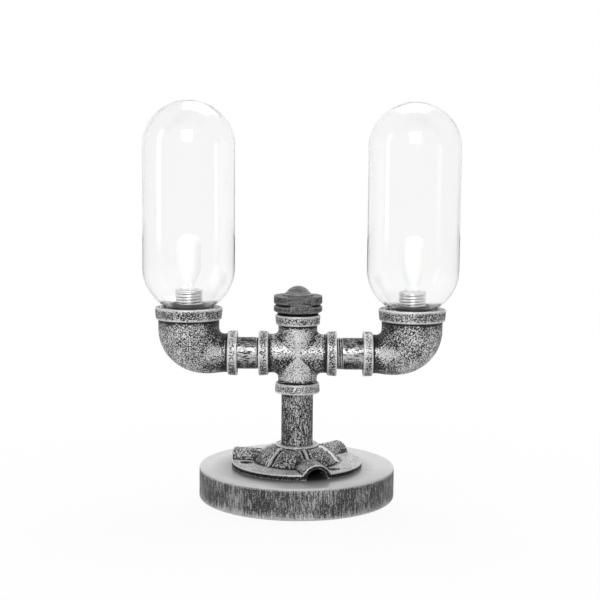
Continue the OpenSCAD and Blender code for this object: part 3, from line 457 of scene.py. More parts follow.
flange_z = 25.0
flange_r = 51.7
plate_t = 3.6
rim_round = 0.5
bore_r = 12.65
hub_r = 17.4
hub_h = 17.4
hub_round = 0.9
dome_root_r = 15.9
dome_foot_r = 33.8
dome_rise = 12.0
scallop = 2.0
rib_count = 6
rib_t = 2.4
rib_foot_r = 36.2
rib_rise = 14.5
hood_r = 11.4
hood_way_r = 8.4
hood_turns = [math.radians(a) for a in (-72, 48, 168)]
screw_turns = [math.radians(a) for a in (-46, 74, 194)]
screw_ring_r = 41.0
screw_pit_r = 5.1
cavity_h = 9.0
cavity_foot_r = 30.5
dome_fillet = 0.8
hood_fillet = 2.6
rib_fillet = 0.5
panel_sink = 1.1
panel_sink_reach = 4.2
pit_drop = 1.0


def blended(a, b, width):
    """The greater of two heights, with a cast fillet of about that width between them."""
    if abs(a - b) >= width:
        return max(a, b)
    share = 0.5 + 0.5 * (a - b) / width
    return b + (a - b) * share + width * share * (1 - share)


def eased(value, low, high):
    """0 below low, 1 above high, and smooth between them."""
    share = max(0.0, min(1.0, (value - low) / (high - low)))
    return share * share * (3 - 2 * share)


def flange_top(r, turn):
    """Height of the casting's upper face over its underside."""
    scalloped = abs(math.sin(rib_count / 2 * (turn - hood_turns[0])))
    foot = dome_foot_r - scallop * (1 - math.sqrt(scalloped))
    down = max(0.0, min(1.0, (r - dome_root_r) / (foot - dome_root_r)))
    dome = plate_t + dome_rise * math.cos(down * math.pi / 2) ** (1 - 0.25 * scalloped)
    height = blended(plate_t, dome, dome_fillet)
    for hood in hood_turns:
        if math.cos(turn - hood) > 0:
            aside = abs(r * math.sin(turn - hood))
            arch = math.sqrt(max(0.0, hood_r ** 2 - aside ** 2))
            height = blended(height, arch, hood_fillet)
    for k in range(rib_count):
        rib = turn - hood_turns[0] - k * math.tau / rib_count
        if math.cos(rib) > 0 and r < rib_foot_r + 0.6:
            down = max(0.0, min(1.0, (r - hub_r) / (rib_foot_r - hub_r)))
            crest = plate_t / 2 + rib_rise * math.cos(down * math.pi / 2)
            aside = abs(r * math.sin(rib))
            # The panels lie lower beside the ribs
            if aside < panel_sink_reach and hub_r < r < rib_foot_r - 3:
                beside = 1 - eased(aside, rib_t / 2, panel_sink_reach)
                height -= panel_sink * beside * eased(r, hub_r, hub_r + 1)
            edge = eased(aside, rib_t / 2 - 0.35, rib_t / 2 + 0.5)
            height = blended(height, crest - 8 * edge, rib_fillet)
    if r < hub_r + 0.4:
        height = blended(height, hub_h - 9 * eased(r, hub_r - 0.15, hub_r + 0.4), rib_fillet)
    if r < bore_r + hub_round:
        height -= hub_round - math.sqrt(max(0.0, hub_round ** 2 - (bore_r + hub_round - r) ** 2))
    if hub_r - hub_round < r <= hub_r:
        height -= 0.8 * (hub_round - math.sqrt(max(0.0, hub_round ** 2 - (r - hub_r + hub_round) ** 2)))
    for screw in screw_turns:
        off = math.hypot(r * math.cos(turn) - screw_ring_r * math.cos(screw),
                         r * math.sin(turn) - screw_ring_r * math.sin(screw))
        if off < screw_pit_r + 0.5:
            height -= pit_drop * (1 - eased(off, screw_pit_r - 0.25, screw_pit_r + 0.35))
    if r > flange_r - rim_round:
        height -= rim_round - math.sqrt(max(0.0, rim_round ** 2 - (r - flange_r + rim_round) ** 2))
    return height


def flange_brush_and_shade(co):
    """How much pewter the brush left on the flange: most on the plate, the ribs and the hub. The upright
    side of the rim is bare of pewter and painted black as shade too.
    """
    r = math.hypot(co.x, co.y)
    turn = math.atan2(co.y, co.x)
    height = co.z - flange_z
    # The underside takes no pewter, and the rim's upright side is painted black as shade
    if height < 0.2 or (r > flange_r - 0.1 and height < flange_top(r, turn) - 0.5):
        return -1.0
    if any(math.hypot(co.x - screw_ring_r * math.cos(screw), co.y - screw_ring_r * math.sin(screw))
           < screw_pit_r + 0.1 for screw in screw_turns):
        return -1.0
    if r <= hub_r + 0.5:
        return 0.15 if height > hub_h - 0.9 else -0.9
    near = min(abs(r * math.sin(turn - hood_turns[0] - k * math.tau / rib_count))
               for k in range(rib_count // 2))
    if r < rib_foot_r:
        return 0.9 if near < rib_t / 2 else -1.0 + 0.75 * eased(near, rib_t / 2 + 0.3, rib_t / 2 + 2.5)
    if any(math.cos(turn - hood) > 0 and abs(r * math.sin(turn - hood)) < hood_r for hood in hood_turns):
        return -0.1
    return 0.45


def flange_underside(r, turn):
    """Height of the hollow under the casting: the ways under the hoods and the space in the dome."""
    height = 0.0
    if hub_r < r < cavity_foot_r:
        height = cavity_h * math.cos((r - hub_r) / (cavity_foot_r - hub_r) * math.pi / 2)
    if r > hub_r:
        for hood in hood_turns:
            if math.cos(turn - hood) > 0:
                aside = abs(r * math.sin(turn - hood))
                height = max(height, math.sqrt(max(0.0, hood_way_r ** 2 - aside ** 2)))
    return height


def steps_between(start, end, count):
    """Count even steps from start up to end, without the start."""
    return [start + (end - start) * k / count for k in range(1, count + 1)]


rim_from = 50.8
turn_steps = 560
upper = ([bore_r] + steps_between(bore_r, bore_r + hub_round, 4)
         + steps_between(bore_r + hub_round, hub_r - hub_round, 3)
         + steps_between(hub_r - hub_round, hub_r, 5) + steps_between(hub_r, hub_r + 0.5, 4)
         + steps_between(hub_r + 0.5, rib_foot_r + 1, 42) + steps_between(rib_foot_r + 1, rim_from, 28)
         + steps_between(rim_from, flange_r, 6))
wall_steps = 6
lower = steps_between(flange_r, hub_r + 0.3, 26) + [hub_r - 0.1, bore_r]
casting = bmesh.new()
stations = ([(r, 0.0) for r in upper] + [(flange_r, k / wall_steps) for k in range(1, wall_steps)]
            + [(flange_r, 1.0)] + [(r, 1.0) for r in lower])
# Each point first carries its share of the way down to the underside as its height
verts = [casting.verts.new((r, 0, share)) for r, share in stations]
edges = [casting.edges.new(pair) for pair in zip(verts, verts[1:])]
edges.append(casting.edges.new((verts[-1], verts[0])))
bmesh.ops.spin(casting, geom=verts + edges, cent=(0, 0, 0), axis=(0, 0, 1), angle=math.tau,
               steps=turn_steps, use_merge=True)
bmesh.ops.remove_doubles(casting, verts=casting.verts, dist=0.0005)
for v in casting.verts:
    r = math.hypot(v.co.x, v.co.y)
    turn = math.atan2(v.co.y, v.co.x)
    high = flange_top(r, turn) if v.co.z < 1 else 0
    low = flange_underside(r, turn) if v.co.z > 0 else 0
    v.co.z = flange_z + high + (low - high) * v.co.z
bmesh.ops.recalc_face_normals(casting, faces=casting.faces)
mark_brush_and_painted_light(casting, flange_brush_and_shade)
piece("floor_flange_casting", casting, cast_iron, "stand", "cast_fitting", "floor_flange")


# Stand pipe and nipples
# Drawn steel pipe, blackened and rubbed along its length, so that the pewter lies in long marks.
# A few turns of tapered thread show where each nipple leaves the cross.
def rubbed_pipe(name, along, mark_length, grit_share):
    """Drawn steel pipe, blackened and rubbed along its length, over a fine black grit."""
    material, tree, shader, coords = new_material(name, Metallic=0.55)
    place = coords.outputs["Object"]
    mark_width = 0.8
    scale = [grain(mark_length if axis == along else mark_width) for axis in "XYZ"]
    mark_place = add(tree, "ShaderNodeMapping", {"Vector": place, "Scale": scale})
    marks = add(tree, "ShaderNodeTexNoise", {"Vector": mark_place.outputs[0], "Scale": 1.0,
                                             "Detail": 2.0, "Roughness": 0.6})
    grit = add(tree, "ShaderNodeTexNoise", {"Vector": place, "Scale": grain(0.75), "Detail": 1.0})
    patch = add(tree, "ShaderNodeTexNoise", {"Vector": place, "Scale": grain(8), "Detail": 2.0})
    wear = add(tree, "ShaderNodeAttribute", attribute_name="wear")
    # The brushed attribute adds painted highlights and painted shade along the pipes
    brushed = add(tree, "ShaderNodeAttribute", attribute_name="brushed")
    peaks = add(tree, "ShaderNodeMath", {0: grit.outputs["Fac"], 1: -0.5}, operation="ADD")
    with_grit = add(tree, "ShaderNodeMath", {0: peaks.outputs[0], 1: grit_share,
                                             2: marks.outputs["Fac"]}, operation="MULTIPLY_ADD")
    with_patch = add(tree, "ShaderNodeMath", {0: patch.outputs["Fac"], 1: 0.25,
                                              2: with_grit.outputs[0]}, operation="MULTIPLY_ADD")
    with_brush = add(tree, "ShaderNodeMath", {0: brushed.outputs["Fac"], 1: 0.07,
                                              2: with_patch.outputs[0]}, operation="MULTIPLY_ADD")
    level = add(tree, "ShaderNodeMath", {0: wear.outputs["Fac"], 1: 0.30,
                                         2: with_brush.outputs[0]}, operation="MULTIPLY_ADD")
    silver = add(tree, "ShaderNodeMapRange", {"Value": level.outputs[0], "From Min": 0.66,
                                              "From Max": 0.86})
    colour = add(tree, "ShaderNodeMix", {0: silver.outputs[0], 6: linear("#141415"),
                                         7: linear("#d6d6d7")}, data_type="RGBA")
    rough = add(tree, "ShaderNodeMapRange", {"Value": silver.outputs[0], "To Min": 0.44,
                                             "To Max": 0.32})
    bump = add(tree, "ShaderNodeBump", {"Strength": 0.3, "Distance": 0.2 * mm,
                                        "Height": level.outputs[0]})
    tree.links.new(colour.outputs[2], shader.inputs["Base Color"])
    tree.links.new(rough.outputs[0], shader.inputs["Roughness"])
    tree.links.new(bump.outputs[0], shader.inputs["Normal"])
    return material


def pipe_painted_light(co):
    """Painted light on the upright pipe: brighter towards the front and the back, and painted darker on
    both sides as shade.
    """
    front = math.radians(-84)
    return math.cos(2 * (math.atan2(co.y, co.x) - front))


def pipe_length(length, thread_from=0.0, thread_to=0.0, sides=144):
    """Pipe up the Z axis with bevelled ends, and a thread on one stretch of it."""
    outer = 12.55
    inner = outer - 2.9
    bevel = 0.8
    pitch = 1.81
    depth = 0.55
    fine = 0.22 if thread_to > thread_from else 1.5
    bm = turned(divided([Vector((inner, 0)), Vector((outer - bevel, 0)), Vector((outer, bevel)),
                         Vector((outer, length - bevel)), Vector((outer - bevel, length)),
                         Vector((inner, length))], fine), sides)
    for v in bm.verts:
        r = math.hypot(v.co.x, v.co.y)
        if r > outer - 0.01 and thread_from < v.co.z < thread_to:
            phase = (v.co.z / pitch - math.atan2(v.co.y, v.co.x) / math.tau) % 1
            cut = depth * (1 - abs(2 * phase - 1)) * eased(thread_to - v.co.z, 0.0, 1.2)
            v.co.x *= (r - cut) / r
            v.co.y *= (r - cut) / r
    return bm


arm_z = 114.6
stand_low = 26.6
stand_top = 96.4
cross_face = 30.8
stand_pipe = pipe_length(stand_top - stand_low)
mark_brush_and_painted_light(stand_pipe, pipe_painted_light)
bmesh.ops.translate(stand_pipe, verts=stand_pipe.verts, vec=(0, 0, stand_low))
piece("stand_pipe_tube", stand_pipe, rubbed_pipe("rubbed_steel_pipe_upright", "Z", 4, 1.0), "stand",
      "pipe_steel", "stand_pipe")
level_pipe = rubbed_pipe("rubbed_steel_pipe_level", "X", 3, 0.45)


def nipple_painted_highlight(co):
    """Painted highlight on the level pipes: brighter along a band a little above their middle, and a touch
    darker elsewhere.
    """
    return 2.2 * (1 - eased(abs(co.z - arm_z - 1.5), 3, 11)) - 0.2


nipple_start = 18.2
for side, nipple_end, shown_thread in (("left", 60.2, 2.2), ("right", 64.2, 5.2)):
    nipple = pipe_length(nipple_end - nipple_start, 1.0, cross_face - nipple_start + shown_thread)
    quarter = math.radians(90 if side == "right" else -90)
    way = 1 if side == "right" else -1
    bmesh.ops.transform(nipple, verts=nipple.verts,
                        matrix=Matrix.Translation((way * nipple_start, 0, arm_z))
                        @ Matrix.Rotation(quarter, 4, "Y"))
    mark_brush_and_painted_light(nipple, nipple_painted_highlight)
    piece(side + "_nipple_tube", nipple, level_pipe, "stand", "pipe_steel", side + "_nipple")


# Pipe cross
# A malleable iron cross in the same casting and finish, with a reinforcing band round each of its
# four mouths and cast fillets between its arms.
neck_r = 15.3
way_r = 11.8
band_r = 17.85
band_w = 7.4
band_edge = 0.7
band_draft = 0.4
band_heel = 0.8
bore_depth = 12.6
fillet_r = 4.0
neck_end = cross_face - band_w - band_heel
arm_sides = 128
corner_steps = 9
corner_part = 0.30


def cross_arm():
    """One arm up the Z axis, from its mitre with its neighbours to its mouth."""
    shares = [corner_part * k / corner_steps for k in range(corner_steps)]
    shares += [corner_part + (1 - corner_part) * k / 12 for k in range(12)]
    heel_r = band_r - band_draft - band_edge * 0.3
    mouth = rounded([(neck_r, neck_end, 0.8), (heel_r, neck_end + band_heel, 0.7),
                     (band_r, cross_face, band_edge), (bore_r, cross_face, 0.4),
                     (bore_r, cross_face - bore_depth, 0), (way_r, cross_face - bore_depth, 0)])
    mouth = divided(mouth, 0.9, closed=False)
    outline = [Vector((neck_r, share * neck_end)) for share in shares]
    outline += mouth + [Vector((way_r, 9)), Vector((way_r, 0))]
    bm = bmesh.new()
    verts = [bm.verts.new((p.x, 0, p.y)) for p in outline]
    edges = [bm.edges.new(pair) for pair in zip(verts, verts[1:])]
    bmesh.ops.spin(bm, geom=verts + edges, cent=(0, 0, 0), axis=(0, 0, 1), angle=math.tau,
                   steps=arm_sides, use_merge=True)
    for v in bm.verts:
        r = math.hypot(v.co.x, v.co.y)
        reach = abs(v.co.x)
        if r > (neck_r + way_r) / 2 and v.co.z < neck_end - 0.9:
            fillet = fillet_r * (reach / neck_r) ** 0.8
            share = v.co.z / neck_end
            if share < corner_part:
                turn = math.radians(225 - 45 * share / corner_part)
                v.co.x = math.copysign(reach + fillet + fillet * math.cos(turn), v.co.x)
                v.co.z = reach + fillet + fillet * math.sin(turn)
            else:
                rest = (share - corner_part) / (1 - corner_part)
                v.co.z = (reach + fillet) + (neck_end - reach - fillet) * rest
        elif r < (way_r + bore_r) / 2 and v.co.z < cross_face - bore_depth - 0.1:
            full = cross_face - bore_depth
            v.co.z = reach + (full - reach) * v.co.z / full
    return bm


def cross_brush_and_painted_light(co):
    """Painted light on the cross: a highlight down the front and back of the upright necks and along a
    band a little above the arms' middle, and painted shade under the arms and beside the bands.
    """
    along = max(abs(co.x), abs(co.z))
    across = min(abs(co.x), abs(co.z))
    if along > neck_end - 0.2:
        return -0.1
    # Painted shade beside the bands, where the necks meet them
    painted_band_shade = eased(along, neck_end - 3.5, neck_end - 0.6)
    if abs(co.z) >= abs(co.x):
        return 0.5 * (1 - eased(across, 6.5, 11.5)) * (1 - painted_band_shade) - 0.8 * painted_band_shade * eased(across, 3, 9)
    # Painted highlight along a band a little above the arm's middle, and painted shade under the arm
    band = 1 - eased(abs(co.z - 3.0), 2.0, 7.0)
    return 0.35 * band * (1 - painted_band_shade) - 0.45 * eased(-co.z, 0, 5) - 0.9 * painted_band_shade


cross = bmesh.new()
for k in range(4):
    arm = cross_arm()
    bmesh.ops.transform(arm, verts=arm.verts, matrix=Matrix.Rotation(k * math.pi / 2, 4, "Y"))
    arm_mesh = bpy.data.meshes.new("arm")
    arm.to_mesh(arm_mesh)
    arm.free()
    cross.from_mesh(arm_mesh)
    bpy.data.meshes.remove(arm_mesh)
bmesh.ops.remove_doubles(cross, verts=cross.verts, dist=0.01)
bmesh.ops.recalc_face_normals(cross, faces=cross.faces)
mark_brush_and_painted_light(cross, cross_brush_and_painted_light)
bmesh.ops.translate(cross, verts=cross.verts, vec=(0, 0, arm_z))
piece("pipe_cross_casting", cross, cast_iron, "stand", "cast_fitting", "pipe_cross")


# Reducing elbows
# Malleable iron elbows that swell from the arm's pipe to a wide mouth, where the lampholder and the
# glass sit. Each is one skin drawn along the bend, through both bands and back inside.
left_x = -86.1
right_x = 90.1
elbow_face = 38.5
pivot = Vector((28.0, 0, 19.3))
corner_r = 4.0
mouth_r = 24.0
mouth_top = 36.2
mouth_band_r = 26.7
mouth_band_h = 9.2
mouth_bore_r = 21.5
mouth_seat = 20.8
fitting_wall = 3.5
ring_sides = 120
bend_steps = 36


def ring(centre, out, radius):
    """Placement of a unit circle that stands square to the bend, with its start turned outwards."""
    across = Vector((0, 1, 0))
    normal = out.cross(across)
    return Matrix([[out[i] * radius, across[i] * radius, normal[i], centre[i]] for i in range(3)]
                  + [[0, 0, 0, 1]])


def bend_rings(wall, turns):
    """Rings round the bend at each angle, drawn in by the wall."""
    rings = []
    for turn in turns:
        r = neck_r + (mouth_r - neck_r) * max(0.0, math.cos(turn)) ** 1.5
        out = Vector((-math.cos(turn), 0, -math.sin(turn)))
        rings.append(ring(pivot + out * (corner_r + r), out, r - wall))
    return rings


def drawn(rings, sides, closed=True):
    """Skin drawn through rings. The last ring meets the first, or else both ends are capped."""
    bm = bmesh.new()
    bmesh.ops.create_circle(bm, cap_ends=not closed, segments=sides, radius=1, matrix=rings[0])
    loop = list(bm.edges)
    following = rings[1:] + rings[:1] if closed else rings[1:]
    for before, after in zip(rings, following):
        grown = bmesh.ops.extrude_edge_only(bm, edges=loop)["geom"]
        verts = [g for g in grown if isinstance(g, bmesh.types.BMVert)]
        loop = [g for g in grown if isinstance(g, bmesh.types.BMEdge)]
        bmesh.ops.transform(bm, matrix=after @ before.inverted(), verts=verts)
    if closed:
        bmesh.ops.remove_doubles(bm, verts=bm.verts, dist=0.001)
    else:
        bmesh.ops.contextual_create(bm, geom=loop)
    bmesh.ops.recalc_face_normals(bm, faces=bm.faces)
    return bm


def elbow_skin():
    """Elbow with its mouth up at x = 0 and its arm towards +X, z = 0 on the arm's axis."""
    down = Vector((0, 0, -1))
    left = Vector((-1, 0, 0))
    quarter = math.pi / 2
    band = rounded([(bore_r, elbow_face, 0.4), (band_r, elbow_face, band_edge),
                    (band_r - band_draft, elbow_face - band_w, band_edge),
                    (neck_r, elbow_face - band_w - band_heel * 0.4, 0.9), (neck_r, pivot.x, 0)])
    mouth = rounded([(mouth_r, pivot.z, 0), (mouth_r, mouth_top - mouth_band_h - 0.5, 1.2),
                     (mouth_band_r - 0.9, mouth_top - mouth_band_h, 0.9),
                     (mouth_band_r, mouth_top, 1.0), (mouth_bore_r, mouth_top, 0.6),
                     (mouth_bore_r, mouth_seat, 0), (mouth_r - fitting_wall, mouth_seat, 0),
                     (mouth_r - fitting_wall, pivot.z, 0)])
    inner = [(way_r, pivot.x), (way_r, elbow_face - bore_depth), (bore_r, elbow_face - bore_depth)]
    rings = [ring(Vector((p.y, 0, 0)), down, p.x) for p in divided(band, 1.0, closed=False)]
    rings += bend_rings(0, [quarter * (1 - k / bend_steps) for k in range(1, bend_steps)])
    rings += [ring(Vector((0, 0, p.y)), left, p.x) for p in divided(mouth, 1.2, closed=False)]
    rings += bend_rings(fitting_wall, [quarter * k / bend_steps for k in range(1, bend_steps)])
    rings += [ring(Vector((x, 0, 0)), down, r) for r, x in inner]
    return drawn(rings, ring_sides)


def elbow_brush_and_painted_light(co):
    """Painted light on the elbow: a highlight along the level side of the arm, and painted shade by the
    arm's band, under the mouth, in the inner corner, below the arm and towards the bottom of the arm's
    band.
    """
    # The arm's band is painted darker towards its bottom as shade
    if co.x > elbow_face - band_w - 0.3:
        return 0.1 - 0.35 * eased(-co.z, 4, 12)
    if co.z > mouth_top - mouth_band_h - 0.3:
        return -0.2
    # Painted shade by the arm's band, under the mouth, in the inner corner and below the arm, and a
    # painted highlight along the level side of the arm
    by_arm_band = eased(co.x, 24, 29)
    under_mouth = eased(co.z, 20, 25) if co.x < 26 else 0
    corner = eased(co.x, 10, 19) * eased(co.z, 5, 12)
    below = eased(co.x, 8, 16) * eased(-co.z, 3, 11)
    glow = eased(co.x, 12, 18) * (1 - eased(abs(co.z - 3), 2, 6))
    return 0.5 * glow - 0.6 * by_arm_band - 0.35 * under_mouth - 0.4 * corner - 0.4 * below


for side, mouth_x in (("left", left_x), ("right", right_x)):
    skin = elbow_skin()
    mark_brush_and_painted_light(skin, elbow_brush_and_painted_light)
    if side == "right":
        bmesh.ops.scale(skin, vec=(-1, 1, 1), verts=skin.verts)
        bmesh.ops.reverse_faces(skin, faces=skin.faces)
    bmesh.ops.translate(skin, verts=skin.verts, vec=(mouth_x, 0, arm_z))
    piece(side + "_elbow_casting", skin, cast_iron, "stand", "cast_fitting", side + "_elbow")


# Dimmer knob
# A valve-handle knob turned from bar: satin gunmetal with a V groove round it, two milled flats
# that cut the groove, a thin washer and a domed cap.
def gunmetal(name, dark, light, roughness):
    """Turned gunmetal: fine turning lines, small pale specks and bright edges."""
    material, tree, shader, coords = new_material(name, Metallic=0.65, Roughness=roughness)
    place = coords.outputs["Object"]
    line_place = add(tree, "ShaderNodeMapping", {"Vector": place, "Scale": (
        grain(16), grain(16), grain(0.7))})
    lines = add(tree, "ShaderNodeTexNoise", {"Vector": line_place.outputs[0], "Scale": 1.0,
                                             "Detail": 2.0})
    specks = add(tree, "ShaderNodeTexNoise", {"Vector": place, "Scale": grain(1.1), "Detail": 2.0,
                                              "Roughness": 0.65})
    wear = add(tree, "ShaderNodeAttribute", attribute_name="wear")
    mixed = add(tree, "ShaderNodeMath", {0: lines.outputs["Fac"], 1: 0.5, 2: specks.outputs["Fac"]},
                operation="MULTIPLY_ADD")
    level = add(tree, "ShaderNodeMath", {0: wear.outputs["Fac"], 1: 0.35, 2: mixed.outputs[0]},
                operation="MULTIPLY_ADD")
    share = add(tree, "ShaderNodeMapRange", {"Value": level.outputs[0], "From Min": 0.62,
                                             "From Max": 0.98})
    colour = add(tree, "ShaderNodeMix", {0: share.outputs[0], 6: linear(dark), 7: linear(light)},
                 data_type="RGBA")
    bump = add(tree, "ShaderNodeBump", {"Strength": 0.2, "Distance": 0.2 * mm,
                                        "Height": mixed.outputs[0]})
    tree.links.new(colour.outputs[2], shader.inputs["Base Color"])
    tree.links.new(bump.outputs[0], shader.inputs["Normal"])
    return material


knob_finish = gunmetal("satin_gunmetal", "#1e1e1f", "#909091", 0.45)
cap_finish = gunmetal("dull_gunmetal", "#4c4c4d", "#b8b8b9", 0.40)
knob_r = 19.1
knob_low = 147.6
knob_top = 161.0
knob_hollow_r = 10.4
knob_hollow_top = 150.3
screw_way_r = 3.0
groove_z = 153.5
groove_half = 1.3
groove_depth = 1.8
flat_y = 15.8
flat_turn = math.radians(9)
grip = turned(divided(rounded([
    (knob_hollow_r, knob_low, 0), (knob_r - 1.6, knob_low, 0.5), (knob_r, knob_low + 1.0, 0.5),
    (knob_r, groove_z - groove_half, 0.3), (knob_r - groove_depth, groove_z, 0.25),
    (knob_r, groove_z + groove_half, 0.3), (knob_r, knob_top, 1.0),
    (screw_way_r, knob_top, 0), (screw_way_r, knob_hollow_top, 0),
    (knob_hollow_r, knob_hollow_top, 0)]), 1.0), 224)
for side in (-1, 1):
    out = Vector((-side * math.sin(flat_turn), side * math.cos(flat_turn), 0))
    cut = bmesh.ops.bisect_plane(grip, geom=grip.verts[:] + grip.edges[:] + grip.faces[:],
                                 plane_co=out * flat_y, plane_no=out, clear_outer=True)
    rim = [g for g in cut["geom_cut"] if isinstance(g, bmesh.types.BMEdge)]
    flat = bmesh.ops.contextual_create(grip, geom=rim)["faces"]
    bmesh.ops.inset_region(grip, faces=flat, thickness=0.15)
bmesh.ops.recalc_face_normals(grip, faces=grip.faces)
piece("knob_grip", grip, knob_finish, "knob", "knob_metal", "knob")
washer_r = 11.8
washer_top = 162.3
washer = turned(divided(rounded([(screw_way_r, knob_top, 0), (washer_r, knob_top, 0.3),
                                 (washer_r, washer_top, 0.4), (screw_way_r, washer_top, 0)]), 1.0), 128)
piece("knob_washer_ring", washer, cap_finish, "knob", "knob_metal", "knob_washer")


def arc(centre, radius, start, end, count):
    """Points of an arc from one angle to another, in degrees."""
    turns = [math.radians(start + (end - start) * k / count) for k in range(count + 1)]
    return [Vector((centre[0] + radius * math.cos(t), centre[1] + radius * math.sin(t))) for t in turns]


cap_r = 9.9
cap_top = 168.3
dome_r = 9.0
cap_foot_top = washer_top + 0.95
dome_low = washer_top + 1.3
crown_r = (dome_r ** 2 + (cap_top - dome_low) ** 2) / (2 * (cap_top - dome_low))
crown_start = math.degrees(math.acos(dome_r / crown_r))
rim = rounded([(0, washer_top, 0), (cap_r, washer_top, 0.35), (cap_r, cap_foot_top, 0.35),
               (dome_r - 0.35, cap_foot_top, 0.1)])
crown = arc((0, cap_top - crown_r), crown_r, crown_start, 90, 18)
crown[-1].x = 0
dome = turned(rim + crown, 128)
piece("knob_cap_dome", dome, cap_finish, "knob", "knob_metal", "knob_cap")


# Lampholders
# In each mouth stands a threaded steel sleeve round a porcelain insert, with a steel ring nut that
# bears on a translucent silicone seal. The glass stands in the seal.
def bare_metal(name, tint, roughness, grain_mm=0.7):
    """Metal, pressed, rolled or turned: an even tint with fine cloudy crystals."""
    material, tree, shader, coords = new_material(name, Metallic=0.9, Roughness=roughness)
    cloud = add(tree, "ShaderNodeTexNoise", {"Vector": coords.outputs["Object"],
                                             "Scale": grain(grain_mm), "Detail": 3.0})
    deep = [c * 0.72 for c in linear(tint)[:3]] + [1]
    colour = add(tree, "ShaderNodeMix", {0: cloud.outputs["Fac"], 6: deep, 7: linear(tint)},
                 data_type="RGBA")
    bump = add(tree, "ShaderNodeBump", {"Strength": 0.12, "Distance": 0.1 * mm,
                                        "Height": cloud.outputs["Fac"]})
    tree.links.new(colour.outputs[2], shader.inputs["Base Color"])
    tree.links.new(bump.outputs[0], shader.inputs["Normal"])
    return material


def silicone():
    """Translucent silicone rubber, moulded: milky, with a soft shine and a faint haze."""
    material, tree, shader, coords = new_material(
        "milky_silicone_rubber", Roughness=0.35, IOR=1.41, Transmission_Weight=0.25,
        Subsurface_Weight=0.2)
    haze = add(tree, "ShaderNodeTexNoise", {"Vector": coords.outputs["Object"], "Scale": grain(2),
                                            "Detail": 3.0})
    colour = add(tree, "ShaderNodeMix", {0: haze.outputs["Fac"], 6: linear("#dadbda"),
                                         7: linear("#f2f3f2")}, data_type="RGBA")
    tree.links.new(colour.outputs[2], shader.inputs["Base Color"])
    return material


zinc = bare_metal("zinc_plated_steel", "#e6e6e5", 0.30)
dull_zinc = bare_metal("dull_zinc_plate", "#6c6c6b", 0.45)
black_steel = bare_metal("blackened_steel", "#1a1a1b", 0.55)
rubber = silicone()
sleeve_r = 10.8
sleeve_bore_r = 9.4
sleeve_low = 130.4
sleeve_top = 164.4
sleeve_pitch = 2.2
sleeve_thread = 0.6
nut_bore_r = 10.9
nut_r = 13.2
nut_groove_r = 12.75
nut_top_r = 13.0
nut_low = 149.4
nut_top = 154.0
seal_low = 138.0
seal_foot_top = 139.8
seal_top = 148.4
seal_bore_r = 14.7
seal_glass_r = 16.8
seal_r = 21.4
for side, mouth_x in (("left", left_x), ("right", right_x)):
    sleeve = turned(divided(rounded([(sleeve_bore_r, sleeve_low, 0), (sleeve_r, sleeve_low, 0.3),
                                     (sleeve_r, sleeve_top, 0.3), (sleeve_bore_r, sleeve_top, 0)]),
                            0.28), 96)
    for v in sleeve.verts:
        r = math.hypot(v.co.x, v.co.y)
        if r > sleeve_r - 0.01 and sleeve_low + 1 < v.co.z < sleeve_top - 1.6:
            phase = (v.co.z / sleeve_pitch - math.atan2(v.co.y, v.co.x) / math.tau) % 1
            root = (0.5 - 0.5 * math.cos(phase * math.tau)) * sleeve_thread
            v.co.x *= (r - root) / r
            v.co.y *= (r - root) / r
    bmesh.ops.translate(sleeve, verts=sleeve.verts, vec=(mouth_x, 0, 0))
    piece(side + "_sleeve_tube", sleeve, zinc, "stand", "bright_steel", side + "_sleeve")
    # Two fine grooves run round the ring nut
    nut = turned(divided(rounded([(nut_bore_r, nut_low, 0), (nut_r, nut_low, 0.4),
                                  (nut_r, 151.0, 0.25), (nut_groove_r, 151.3, 0.15),
                                  (nut_r, 151.6, 0.25), (nut_r, 152.6, 0.25),
                                  (nut_groove_r, 152.9, 0.15), (nut_top_r, 153.2, 0.2),
                                  (nut_top_r, nut_top, 0.3), (nut_bore_r, nut_top, 0)]), 0.8), 128)
    bmesh.ops.translate(nut, verts=nut.verts, vec=(mouth_x, 0, 0))
    piece(side + "_ring_nut_turned", nut, dull_zinc, "stand", "bright_steel", side + "_ring_nut")
    seal = turned(divided(rounded([(seal_bore_r, seal_low, 0.3), (seal_r, seal_low, 0.4),
                                   (seal_r, seal_top, 0.8), (seal_glass_r, seal_top, 0.8),
                                   (seal_glass_r, seal_foot_top, 0.3),
                                   (seal_bore_r, seal_foot_top, 0.3)]), 1.0), 128)
    bmesh.ops.translate(seal, verts=seal.verts, vec=(mouth_x, 0, 0))
    piece(side + "_seal_ring", seal, rubber, "stand", "silicone", side + "_seal")


# Glass shades
# Mouth-blown clear borosilicate capsules: a straight body with a round crown and a ball below that
# draws in to a short neck. The foot of the neck is fire-polished.
def blown_glass():
    """Clear blown glass, with walls that ripple very slightly from the mould."""
    material, tree, shader, coords = new_material(
        "clear_borosilicate_glass", Base_Color=linear("#fdfdfd"), Roughness=0.08, IOR=1.47,
        Transmission_Weight=1.0)
    ripple_width, ripple_height = 14, 110
    stretch = add(tree, "ShaderNodeMapping", {"Vector": coords.outputs["Object"], "Scale": (
        grain(ripple_width), grain(ripple_width), grain(ripple_height))})
    ripple = add(tree, "ShaderNodeTexNoise", {"Vector": stretch.outputs[0], "Scale": 1.0,
                                              "Detail": 1.0})
    bump = add(tree, "ShaderNodeBump", {"Strength": 0.3, "Distance": 0.6 * mm,
                                        "Height": ripple.outputs["Fac"]})
    tree.links.new(bump.outputs[0], shader.inputs["Normal"])
    return material


glass_r = 36.2
glass_neck_r = 16.5


